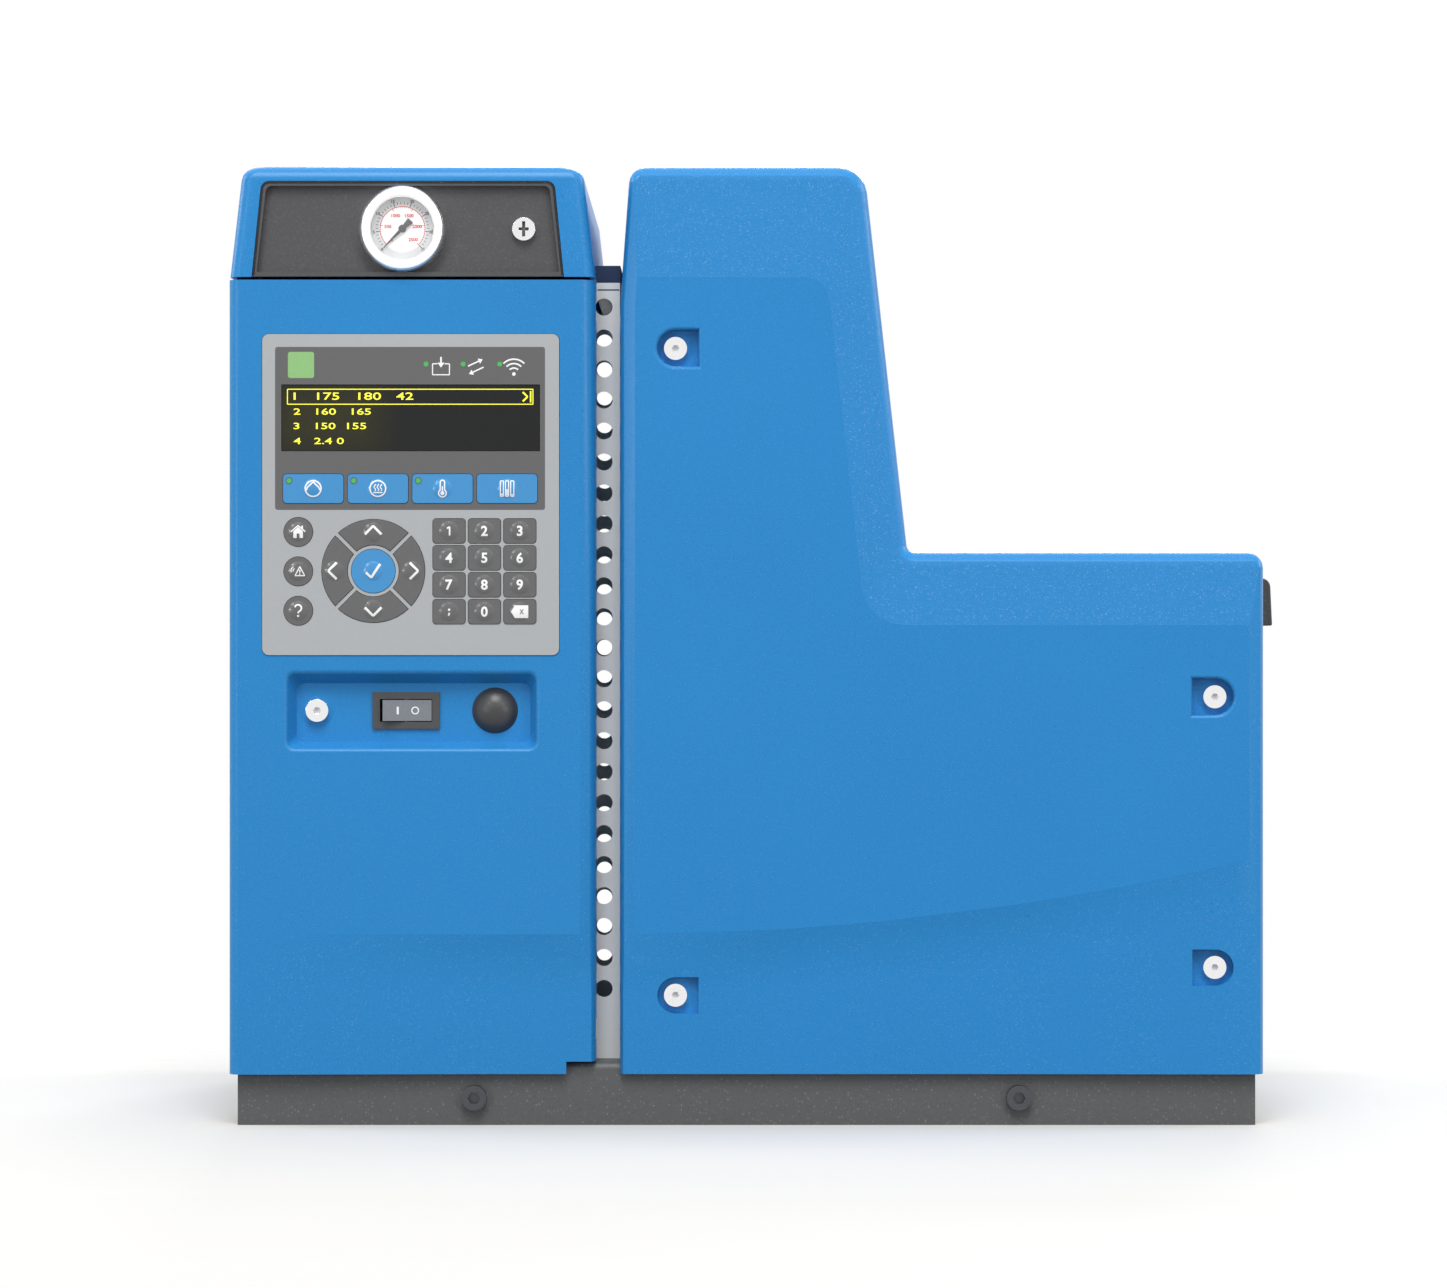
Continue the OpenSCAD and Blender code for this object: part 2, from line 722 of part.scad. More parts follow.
module enclosure_door() {
    color("steelblue") {
        difference() {
            union() {
                difference() {
                    translate([0, 0, skirt_z]) linear_extrude(door_z1 - skirt_z)
                        door_plan(0, front_y + door_side);
                    translate([0, 0, skirt_z - 1]) linear_extrude(door_z1 - wall - skirt_z + 1)
                        door_plan(wall, front_y + door_side + 1);
                    block(left_x + wall + 1, door_x1 + 1, front_y + door_lip, front_y + door_side + 1,
                        skirt_z - 1, door_z1 + 1);
                }
                block(left_x + wall, door_x1 - door_edge_r, front_y + door_t - 1,
                    front_y + front_lap - 1, skirt_z, ledge_z + 8);
                recess_form(wall);
            }
            ledge_cutter(left_x - 1, door_x1 + 1, 8);
            recess_form(0);
            along_y(front_y - 1, front_y + door_t + 1) panel_outline(gap / 2);
            block(switch_x - switch_w / 2 + 3, switch_x + switch_w / 2 - 3, floor_y - 1, floor_y + wall + 1,
                recess_mid_z - switch_h / 2 + thin, recess_mid_z + switch_h / 2 - thin);
            rod_y(door_screw_x, recess_mid_z, floor_y - 1, floor_y + wall + 1, screw_r + run);
            rod_y(port_x, recess_mid_z, floor_y - 1, floor_y + wall + 1, port_stem_r + run);
            // Corner cleared for the base when the door swings
            block(hinge_x - hinge_in + 0.6, door_x1 + 1, front_y - 1, front_y + door_side,
                skirt_z - 1, base_h + gap);
            // Side wall cleared for the hinge tabs
            for (z = [tab_low_z, tab_high_z])
                block(hinge_x, door_x1 + 1, front_y + door_edge_r - 1, front_y + door_lip + 1, z - 4, z + tab_t + 4);
        }
        hinge_eye(eye_low_z);
        hinge_eye(eye_high_z);
    }
}

module door_screw() {
    color("white") {
        socket_head(door_screw_x, recess_mid_z, floor_y, screw_head_r, 4);
        rod_y(door_screw_x, recess_mid_z, floor_y, encl_y0 + 4, screw_r);
    }
}

module port_cap() {
    color([0.2, 0.2, 0.2]) translate([port_x, floor_y, recess_mid_z]) rotate([90, 0, 0]) {
        dome(port_cap_r, 6.5);
        translate([0, 0, -wall - 1.5]) cylinder(r = port_stem_r, h = wall + 1.5 + eps);
    }
}

// Domed cap, r wide and h high, standing on Z = 0
module dome(r, h) {
    ball = (r * r + h * h) / (2 * h);
    rotate_extrude() polygon(concat([[0, 0]],
        [for (i = [0 : 5]) let (x = r * (1 - i / 5)) [x, sqrt(ball * ball - x * x) - ball + h]]));
}

// Keys

module key_outline(kind, grow) {
    if (kind == "number") round_rect(num_w + 2 * grow, num_h + 2 * grow, num_corner + grow);
    if (kind == "function") round_rect(func_w + 2 * grow, func_h + 2 * grow, func_corner + grow);
    if (kind == "round") circle(round_r + grow);
    if (kind == "confirm") circle(ok_r + grow);
    if (kind == "arrow") intersection() {
        difference() {
            circle(arrow_r1 + grow);
            circle(arrow_r0 - grow);
        }
        translate([arrow_gap / sqrt(2) - grow * sqrt(2), 0])
            polygon([[0, 0], [2 * arrow_r1, -2 * arrow_r1], [2 * arrow_r1, 2 * arrow_r1]]);
    }
}

module key(k) {
    arrow = k[1] == "arrow";
    blue = k[1] == "function" || k[1] == "confirm";
    color(blue ? "cornflowerblue" : "gray") translate([k[2], 0, k[3]]) {
        along_y(key_y0, key_y1) rotate(k[4]) key_outline(k[1], 0);
        translate([0, key_y0, 0]) rotate([90, 0, 0]) rotate(k[4])
            translate([arrow ? (arrow_r0 + arrow_r1) / 2 : 0, 0, -eps]) dome(dome_r, dome_h);
    }
}

module control_panel() {
    color("silver") difference() {
        union() {
            along_y(panel_y0, panel_y1) panel_outline(0);
            along_y(front_y + door_t, panel_y1) panel_outline(panel_flange);
        }
        for (k = KEYS)
            along_y(panel_y0 - 1, panel_y1 + 1) translate([k[2], k[3]]) rotate(k[4]) key_outline(k[1], key_gap);
        along_y(panel_y0 - 1, panel_y1 + 1) translate([display_x, display_z])
            square([display_w + gap, display_h + gap], center = true);
    }
}

module display_board() {
    color([0.1, 0.1, 0.1]) {
        along_y(board_y, board_y + board_t) panel_outline(-1);
        along_y(panel_y0 + 0.5, board_y + eps) translate([display_x, display_z])
            square([display_w, display_h], center = true);
        for (x = [panel_x0 + 5, panel_x0 + panel_w - 5], z = [panel_z1 - 5, panel_z1 - panel_h + 5])
            rod_y(x, z, panel_y1, board_y + eps, 3);
    }
}

// Switch

module switch_housing() {
    w = rocker_w + 1.6;
    h = rocker_h + 2 * gap;
    color([0.15, 0.15, 0.15]) difference() {
        union() {
            along_y(floor_y - switch_t, floor_y) translate([switch_x, recess_mid_z])
                square([switch_w, switch_h], center = true);
            block(switch_x - switch_w / 2 + 3 + gap, switch_x + switch_w / 2 - 3 - gap, floor_y - eps,
                floor_y + 18, recess_mid_z - switch_h / 2 + thin + gap,
                recess_mid_z + switch_h / 2 - thin - gap);
        }
        block(switch_x - w / 2, switch_x + w / 2, floor_y - switch_t - 1, floor_y + 12,
            recess_mid_z - h / 2, recess_mid_z + h / 2);
        translate([switch_x, pivot_y, recess_mid_z - h / 2 - 1]) cylinder(r = trunnion_r + run, h = h + 2);
    }
}

// Rocker at rest with its right end pressed in
module rocker() {
    a = rocker_w / 2;
    color([0.35, 0.35, 0.37]) translate([switch_x, pivot_y, recess_mid_z]) {
        rotate([0, 0, rocker_tilt]) translate([0, 0, -rocker_h / 2]) linear_extrude(rocker_h)
            polygon([[-a, -4.5], [0, -2.6], [a, -4.5], [a - 3, 4], [3 - a, 4]]);
        translate([0, 0, -rocker_h / 2 - 0.9]) cylinder(r = trunnion_r, h = rocker_h + 1.8);
    }
}

// Top cap with gauge and regulator

function cap_ring(z, shrink) =
    let (up = z - cap_z0, lean = cap_lean * up / cap_h,
        i = shrink + edge_inset(cap_r, unit_h - shrink - z), r = 6 + i / 2)
    [for (p = rounded(rectangle(left_x + 0.4 + lean + i, front_y + lean / 4 + i,
            door_x1 - 0.4 - lean - i, rear_y - lean - i), [r, r, r, r])) [p.x, p.y, z]];

module cap_form(shrink, z0) {
    loft(concat([cap_ring(z0, shrink)],
        [for (a = [0 : 22.5 : 90]) cap_ring(unit_h - shrink - cap_r * (1 - sin(a)), shrink)]));
}

// Front opening of the cap, drawn in by i
module insert_outline(i) {
    x0 = left_x + 12;
    x1 = door_x1 - 16.5;
    z1 = unit_h - 8 - i;
    polygon(rounded([[x0 + i, cap_z0 + i], [x1 - i, cap_z0 + i], [x1 - 5 - i, z1], [x0 + 5 + i, z1]],
        [0.5, 0.5, 4.5 - i / 2, 4.5 - i / 2]));
}

module top_cap() {
    color("steelblue") {
        difference() {
            cap_form(0, cap_z0);
            cap_form(wall, cap_z0 - 1);
            along_y(front_y - 1, front_y + 12) insert_outline(0);
            block(left_x + 12, door_x1 - 16.5, front_y - 1, front_y + 12, cap_z0 - 1, cap_z0 + 1);
        }
        // Lip that bridges the air gap
        block(door_x1 - wall, vent_x1, vent_y + 12, rear_y - 12, cap_z0, cap_z0 + 9);
        // Bosses that stand on the enclosure
        for (x = [encl_x0 + 20, encl_x1 - 10], y = [encl_y0 + 62, rear_y - 22])
            translate([x, y, encl_z1]) cylinder(r = 6, h = unit_h - wall - encl_z1 + 1);
    }
}

module gauge_panel() {
    color([0.25, 0.25, 0.26]) difference() {
        union() {
            along_y(insert_y0, insert_y1) insert_outline(gap / 2);
            intersection() {
                along_y(insert_floor_y, insert_y1) insert_outline(-4);
                block(left_x, door_x1, insert_floor_y, insert_y1, cap_z0 + gap, unit_h - wall - cap_r - 1);
            }
        }
        along_y(insert_y0 - 1, insert_floor_y) insert_outline(insert_rim);
        rod_y(gauge_x, gauge_z, insert_y0 - 1, insert_y1 + 1, gauge_body_r + gap / 2);
        rod_y(regulator_x, gauge_z, insert_y0 - 1, insert_y1 + 1, screw_r + gap / 2);
    }
}

// Turns a profile about the gauge's axis, with the panel at Z = 0 and +Z to the front
module at_gauge() {
    translate([gauge_x, insert_floor_y, gauge_z]) rotate([90, 0, 0]) children();
}

module gauge_case() {
    color("white") at_gauge() rotate_extrude() polygon([[0, -26], [gauge_body_r, -26], [gauge_body_r, 0],
        [bezel_r, 0], [bezel_r, 6.5], [bezel_r - 1.6, 9], [dial_r + 1.6, 9.6], [dial_r + 0.2, 8.4],
        [dial_r + 0.2, dial_up], [0.8, dial_up], [0.8, dial_up - 9], [0, dial_up - 9]]);
}

module gauge_lens() {
    color([0.9, 0.95, 1, 0.3]) at_gauge() translate([0, 0, dial_up + 3]) cylinder(r = dial_r + 0.1, h = 1.2);
}

// Pointer on its spindle, at rest on the scale's low end
module gauge_pointer() {
    color([0.1, 0.1, 0.1]) at_gauge() {
        translate([0, 0, dial_up - 8]) cylinder(r = 0.75, h = 9);
        translate([0, 0, dial_up + 0.6]) cylinder(r = 2, h = 1.4);
        translate([0, 0, dial_up + 0.8]) rotate(225) linear_extrude(0.8)
            polygon([[-6, -1.8], [-6, 1.8], [0, 0.9], [dial_r - 3, 0.25], [dial_r - 3, -0.25], [0, -0.9]]);
    }
}

module at_regulator() {
    translate([regulator_x, insert_floor_y, gauge_z]) rotate([90, 0, 0]) children();
}

module regulator_body() {
    color("silver") at_regulator() difference() {
        union() {
            translate([0, 0, -wall - 30]) cylinder(r = regulator_r, h = 30);
            translate([-17, -17, -wall - 72]) cube([34, 34, 42.1]);
            translate([0, 0, -wall - 92]) cylinder(r = 12, h = 20.1);
        }
        translate([0, 0, -wall - 26]) cylinder(r = screw_r + run, h = 30);
    }
}

module regulator_screw() {
    color("white") at_regulator() difference() {
        union() {
            translate([0, 0, 0.3]) cylinder(r = screw_head_r, h = 3);
            translate([0, 0, -wall - 25]) cylinder(r = screw_r, h = wall + 26);
        }
        translate([-0.8, -4, 1.6]) cube([1.6, 8, 3]);
        translate([-2.6, -0.8, 1.6]) cube([5.2, 1.6, 3]);
    }
}

// Right side

function slope_at(z) = step_x - (z - step_z) * tan(slope_deg);
function draft_at(z) = cover_x0 + max(0, z - draft_z) * tan(draft_deg);

// Outline of the right side: side and rim are how far the ends and the upper edges
// are drawn in, and band is 1 on the front face, inside the shallow bevel
function cover_ring(y, side, rim, band, low_z, z0) =
    let (x0 = cover_x0 + side, x1 = right_x - side, zs = low_z - rim - band * band_step,
        zt = unit_h - rim - band * band_top,
        lean = (rim + band * band_slope) / cos(slope_deg))
    [for (p = rounded(
            [[x0, z0], [x1, z0], [x1, zs], [slope_at(zs) - lean, zs], [slope_at(zt) - lean, zt],
                [draft_at(zt) + side / cos(draft_deg), zt], [x0, draft_z]],
            [0, 0, max(low_r - rim, 0.5), inner_r + rim + 10 * band, max(tall_r - rim, 1) + 6 * band,
                max(tall_left_r - rim, 0.5), 0]))
        [p.x, y, p.y]];

// Front cover's outside, or its inside where shrink is the wall
module cover_form(shrink, y1, z0) {
    r = edge_r - shrink;
    y0 = front_y + shrink;
    face = cover_ring(y0 + skin, shrink + r, shrink + r, 1, step_z, z0);
    loft(concat([cover_ring(y1, shrink, shrink, 0, step_z, z0)],
        [for (a = [0 : 22.5 : 90]) let (d = band_d + r * (1 - sin(a)))
            cover_ring(y0 + d, shrink + edge_inset(r, d), shrink + edge_inset(r, d - band_d), 0, step_z, z0)],
        [face]));
    along_y(y0, y0 + 1) polygon([for (p = face) [p.x, p.z]]);
}

// Pocket that is round at the screw and square towards side s
module pocket_outline(s, grow) {
    circle(pocket_r + grow);
    translate([s > 0 ? 0 : -pocket_l - grow, -pocket_r - grow])
        square([pocket_l + grow, 2 * (pocket_r + grow)]);
}

module front_cover() {
    color("steelblue") difference() {
        union() {
            difference() {
                cover_form(0, seam_y, skirt_z);
                cover_form(wall, seam_y + 1, skirt_z - 1);
            }
            block(cover_x0 + wall, right_x - wall, front_y + wall - 0.5, front_y + front_lap - 1,
                skirt_z, ledge_z + 6);
            for (s = cover_screws_at) translate([s[0], 0, s[1]]) {
                along_y(front_y + 1, front_y + pocket_d + wall) pocket_outline(s[2], wall);
                rod_y(0, 0, front_y + pocket_d, seam_y, boss_r);
            }
        }
        ledge_cutter(cover_x0 - 1, right_x + 1, 20);
        for (s = cover_screws_at) translate([s[0], 0, s[1]]) {
            along_y(front_y - 1, front_y + pocket_d) pocket_outline(s[2], 0);
            rod_y(0, 0, front_y, seam_y + 1, screw_r + run);
        }
        // Left wall cleared for the base
        block(cover_x0 - 1, right_x - wall - eps, -base_d / 2 - 0.6, seam_y + 1, skirt_z - 1, base_h + gap);
    }
}

module cover_screws() {
    color("white") for (s = cover_screws_at) {
        socket_head(s[0], s[1], front_y + pocket_d, screw_head_r, 4);
        rod_y(s[0], s[1], front_y + pocket_d, seam_y + gap + lug_t + 4, screw_r);
    }
}

// Rear half of the right side: walls round the tank, and the pump tower
module rear_cover() {
    rim_z = lid_z0 - 1.5;
    rear_r = 5;
    y0 = seam_y + gap;
    back = cover_ring(rear_y - skin, rear_r, rear_r, 0, rim_z, base_h);
    color("steelblue") {
        difference() {
            union() {
                along_y(y0, rear_y - rear_r)
                    polygon([for (p = cover_ring(0, 0, 0, 0, rim_z, base_h)) [p.x, p.z]]);
                loft(concat([back],
                    [for (a = [60 : -30 : 0]) let (d = rear_r * (1 - sin(a)), i = skin + edge_inset(rear_r, d))
                        cover_ring(rear_y - d, i, i, 0, rim_z, base_h)],
                    [cover_ring(rear_y - rear_r - 1, skin, skin, 0, rim_z, base_h)]));
                along_y(rear_y - 0.5, rear_y) polygon([for (p = back) [p.x, p.z]]);
            }
            // Pump tower
            along_y(y0 - 1, rear_y - wall) polygon([[cover_x0 + wall, base_h - 1],
                [slope_at(base_h) - wall, base_h - 1], [slope_at(unit_h - wall) - wall - 1, unit_h - wall],
                [draft_at(unit_h - wall) + wall, unit_h - wall], [cover_x0 + wall, draft_z]]);
            // Tank bay, open to the lid and, under the tower's wall, to the pump
            block(slope_at(rim_z) + 2.5, right_x - wall, y0 - 1, rear_y - wall, base_h - 1, rim_z + 1);
            block(cover_x0 + wall, right_x - wall, y0 - 1, rear_y - wall, base_h - 1, rim_z - 20);
            // Window for the hose ports
            block(hose_x[0] - 24, hose_x[1] + 24, rear_y - wall - 1, rear_y + 1, hose_z - 26, hose_z + 26);
        }
        for (s = cover_screws_at) difference() {
            block(s[2] > 0 ? cover_x0 + wall - 1 : s[0] - 12, s[2] > 0 ? s[0] + 12 : right_x - wall + 1,
                y0 + skin, y0 + lug_t, s[1] - 13, s[1] + 13);
            rod_y(s[0], s[1], y0 - 1, y0 + lug_t + 1, screw_r + run);
        }
        for (y = [y0 + skin, rear_y - wall - ear_t + eps]) difference() {
            along_y(y, y + ear_t) {
                translate([lid_hinge_x, lid_hinge_z]) circle(ear_r);
                polygon([[slope_at(lid_hinge_z) - 1.5, lid_hinge_z - ear_r],
                    [lid_hinge_x, lid_hinge_z - ear_r], [lid_hinge_x, lid_hinge_z + 5],
                    [slope_at(lid_hinge_z) - 1.5, lid_hinge_z + 5]]);
            }
            rod_y(lid_hinge_x, lid_hinge_z, y - 1, y + ear_t + 1, pin_r + run);
        }
    }
}

// Tank

module tank_plan(inset) {
    translate([(tank_x0 + tank_x1) / 2, tank_mid_y])
        round_rect(tank_w - 2 * inset, tank_l - 2 * inset, max(14 - inset, 4));
}

module tank() {
    color("gainsboro") {
        difference() {
            translate([0, 0, tank_z0]) linear_extrude(tank_z1 - tank_z0) tank_plan(0);
            translate([0, 0, tank_bottom]) linear_extrude(tank_z1) tank_plan(tank_t);
            rod_x(pump_y, heater_z, tank_x0 - 1, tank_x0 + 40, outlet_r);
            translate([tank_x0 + 32, pump_y, heater_z]) cylinder(r = outlet_r, h = tank_floor);
            for (x = heater_x) rod_y(x, heater_z, tank_y0 - 1, tank_y1 - 20, heater_r + run);
        }
        for (i = [1 : fin_count]) {
            x = tank_x0 + tank_t + (tank_w - 2 * tank_t) * i / (fin_count + 1);
            block(x - 2.5, x + 2.5, tank_y0 + 30, tank_y1 - 30, tank_bottom - 1, tank_bottom + fin_h);
        }
        for (x = [tank_x0 + 18, tank_x1 - 18], y = [tank_y0 + 18, tank_y1 - 18])
            translate([x, y, base_h]) cylinder(r = 9, h = tank_z0 - base_h + 1);
    }
}

heater_x = [tank_x0 + tank_w * 0.45, tank_x0 + tank_w * 0.8];

module tank_heaters() {
    color("silver") for (x = heater_x) rod_y(x, heater_z, tank_y0 - 12, tank_y1 - 21, heater_r);
}

module tank_insulation() {
    color("lightgray") difference() {
        translate([0, 0, tank_z0 + 4]) linear_extrude(tank_z1 - tank_z0 - 10) difference() {
            tank_plan(-gap - insulation_t);
            tank_plan(-gap);
        }
        block(tank_x0 - insulation_t - 5, tank_x0 + 2, manifold_y0 - 2, rear_y, 0, manifold_z1 + 2);
        for (x = heater_x) rod_y(x, heater_z, tank_y0 - 20, tank_y0, heater_r + 1);
    }
}

// Lid

module tank_lid() {
    lid_rise = [for (a = [0 : 22.5 : 90]) a];
    color("steelblue") difference() {
        union() {
            loft(concat([lid_ring(lid_z0, 0)],
                [for (a = lid_rise) lid_ring(step_z - lid_edge * (1 - sin(a)), lid_edge * (1 - cos(a)))]));
            rod_y(lid_hinge_x, lid_hinge_z, lid_y0 + ear_t + gap, rear_y - wall - ear_t - gap, barrel_r);
            block(lid_hinge_x, lid_x0 + 1, lid_y0 + ear_t + gap, rear_y - wall - ear_t - gap,
                lid_hinge_z - barrel_r, lid_hinge_z + 1);
        }
        rod_y(lid_hinge_x, lid_hinge_z, lid_y0, rear_y, pin_r + run);
        block(lid_x0 + 6, right_x - 8, tank_y0 - 3, tank_y1 + 3, lid_z0 - 1, lid_z0 + lid_recess);
    }
}

function lid_ring(z, i) =
    [for (p = rounded(rectangle(lid_x0 + i / 3, lid_y0 + i, right_x - i, rear_y - i),
            [1, lid_r - i / 2, lid_r - i / 2, 1])) [p.x, p.y, z]];

module lid_seal() {
    color([0.3, 0.1, 0.08]) translate([0, 0, tank_z1 + 0.3]) linear_extrude(lid_z0 + lid_recess - tank_z1 - 0.3)
        difference() {
            tank_plan(1);
            tank_plan(1 + seal_t);
        }
}

// Moulded pull with a finger hollow underneath
module lid_grip() {
    y0 = tank_mid_y - grip_w / 2 - 10;
    z1 = lid_z0 + grip_h;
    t = 3;
    color([0.2, 0.2, 0.2]) difference() {
        along_y(y0, y0 + grip_w) polygon(rounded(
            [[right_x, lid_z0], [right_x + grip_d, lid_z0], [right_x + grip_d - 1.2, z1], [right_x, z1]],
            [0, 1, 5, 0]));
        along_y(y0 + t, y0 + grip_w - t) polygon(rounded(
            [[right_x + t, lid_z0 - 1], [right_x + grip_d - t, lid_z0 - 1],
                [right_x + grip_d - t - 1, z1 - t], [right_x + t, z1 - t]], [0, 0, 3, 1]));
    }
}

// Pump, manifold and hose ports

module manifold() {
    color("gainsboro") difference() {
        block(manifold_x0, tank_x0, manifold_y0, manifold_y1, manifold_z0, manifold_z1);
        block(pump_x + 32, tank_x0 + 1, pump_y + 24, manifold_y1 - 60, manifold_z0 - 1, manifold_z1 + 1);
        block(hose_x[1] + 24, tank_x0 + 1, pump_y + 24, manifold_y1 + 1, manifold_z0 - 1, manifold_z1 + 1);
        translate([pump_x, pump_y, plunger_z - 5]) cylinder(r = spigot_r + run, h = manifold_h);
        rod_x(pump_y, heater_z, pump_x, tank_x0 + 1, outlet_r);
        for (x = hose_x) rod_y(x, hose_z, manifold_y1 - 30, manifold_y1 + 1, hose_r + run);
    }
}

module hose_fittings() {
    color("silver") for (x = hose_x) difference() {
        union() {
            rod_y(x, hose_z, manifold_y1 - 12, manifold_y1 + eps, hose_r);
            rod_y(x, hose_z, manifold_y1, manifold_y1 + 12, 11, 6);
            rod_y(x, hose_z, manifold_y1 + 12 - eps, manifold_y1 + 12 + hose_l, hose_r);
        }
        rod_y(x, hose_z, manifold_y1 - 13, manifold_y1 + 13 + hose_l, 4);
    }
}

// Air cylinder, open yoke and hydraulic barrel on one axis
module pump_body() {
    yoke_z = air_z0 - 60;
    color("silver") translate([pump_x, pump_y, 0]) difference() {
        rotate_extrude() polygon([[plunger_r + 1, manifold_z1 - 15], [spigot_r, manifold_z1 - 15],
            [spigot_r, manifold_z1], [24, manifold_z1], [24, air_z0], [air_bore_r + air_wall, air_z0],
            [air_bore_r + air_wall, air_z0 + air_h], [0, air_z0 + air_h], [0, air_z0 + air_h - 10],
            [air_bore_r, air_z0 + air_h - 10], [air_bore_r, air_z0 + 10], [shaft_r + run, air_z0 + 10],
            [shaft_r + run, manifold_z1 + 30], [plunger_r + 1, manifold_z1 + 30]]);
        block(-18, 18, -30, 30, yoke_z, air_z0 - 12);
    }
}

module pump_rod() {
    color("whitesmoke") translate([pump_x, pump_y, 0]) {
        translate([0, 0, plunger_z]) cylinder(r = shaft_r, h = air_z0 + 12 - plunger_z);
        translate([0, 0, plunger_z]) cylinder(r = plunger_r, h = 16);
        translate([0, 0, air_z0 + 11]) cylinder(r = air_bore_r - run, h = piston_h);
    }
}

// Electrical parts

module main_board() {
    y1 = plate_y - 8;
    x0 = encl_x0 + 20;
    x1 = encl_x1 - 20;
    z0 = base_h + 60;
    z1 = encl_z1 - 60;
    color("seagreen") {
        block(x0, x1, y1 - board_t, y1, z0, z1);
        for (x = [x0 + 6, x1 - 6], z = [z0 + 6, z1 - 6]) rod_y(x, z, y1 - eps, plate_y + eps, 4);
        // Mounting plate on legs that stand on the enclosure's rear wall
        block(x0 - 8, x1 + 8, plate_y, plate_y + encl_t, z0 - 10, z1 + 10);
        for (x = [x0 - 2, x1 + 2], z = [z0 + 20, z1 - 20])
            rod_y(x, z, plate_y + encl_t - eps, rear_y - encl_t, 5);
        // Transformer, relays, fuses, capacitors and terminal rows
        block(x0 + 10, x0 + 62, y1 - 48, y1 - board_t + eps, z0 + 14, z0 + 74);
        for (i = [0 : 4]) block(x0 + 8 + i * 25, x0 + 26 + i * 25, y1 - 20, y1 - board_t + eps, z1 - 70, z1 - 44);
        for (i = [0 : 2]) rod_y(x1 - 20 - i * 22, z0 + 36, y1 - 40, y1 - board_t + eps, 8.5);
        for (i = [0 : 3]) rod_x(y1 - 9, z0 + 100 + i * 16, x1 - 48, x1 - 14, 5);
        block(x1 - 50, x1 - 12, y1 - 8, y1 - board_t + eps, z0 + 92, z0 + 156);
        block(x0 + 12, x1 - 12, y1 - 16, y1 - board_t + eps, z1 - 24, z1 - 10);
        block(x0 + 16, x0 + 56, y1 - 6, y1 - board_t + eps, z0 + 104, z0 + 144);
    }
}

// Two hose sockets and the cable gland
module rear_connectors() {
    color([0.15, 0.15, 0.15]) {
        for (x = socket_x) difference() {
            union() {
                block(x - socket_w / 2, x + socket_w / 2, rear_y, rear_y + 3, socket_z - socket_h / 2, socket_z + socket_h / 2);
                block(x - socket_w / 2 + 3 + gap, x + socket_w / 2 - 3 - gap, rear_y - socket_d, rear_y + 3,
                    socket_z - socket_h / 2 + 3 + gap, socket_z + socket_h / 2 - 3 - gap);
            }
            block(x - socket_w / 2 + 6, x + socket_w / 2 - 6, rear_y - socket_d + 3, rear_y + 4,
                socket_z - socket_h / 2 + 6, socket_z + socket_h / 2 - 6);
        }
        difference() {
            union() {
                rod_y(gland_x, gland_z, rear_y - 14, rear_y + 1, gland_body_r);
                rod_y(gland_x, gland_z, rear_y - encl_t - 7, rear_y - encl_t, gland_body_r + 4, 6);
                rod_y(gland_x, gland_z, rear_y, rear_y + 8, gland_body_r + 4, 6);
                rod_y(gland_x, gland_z, rear_y + 7, rear_y + 22, gland_body_r + 1.5);
            }
            rod_y(gland_x, gland_z, rear_y - 15, rear_y + 23, gland_r);
        }
    }
}

module air_inlet() {
    color("silver") difference() {
        union() {
            rod_y(inlet_x, inlet_z, rear_y - 14, rear_y + 1, inlet_body_r);
            rod_y(inlet_x, inlet_z, rear_y - encl_t - 6, rear_y - encl_t, inlet_body_r + 4, 6);
            rod_y(inlet_x, inlet_z, rear_y, rear_y + 14, inlet_body_r + 4, 6);
        }
        rod_y(inlet_x, inlet_z, rear_y - 15, rear_y + 15, inlet_r);
    }
}

sub_base();
base_screws();
vent_divider();
enclosure_box();
enclosure_frame();
top_cap();
gauge_panel();
gauge_case();
gauge_lens();
gauge_pointer();
regulator_body();
regulator_screw();
front_cover();
cover_screws();
rear_cover();
tank();
tank_heaters();
tank_insulation();
manifold();
hose_fittings();
pump_body();
pump_rod();
main_board();
rear_connectors();
air_inlet();
hinge_pins();
tank_lid();
lid_grip();
lid_seal();
enclosure_door();
control_panel();
display_board();
switch_housing();
rocker();
port_cap();
door_screw();
for (k = KEYS) key(k);
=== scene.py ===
import json
import math

import bpy
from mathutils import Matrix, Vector
from mathutils.bvhtree import BVHTree


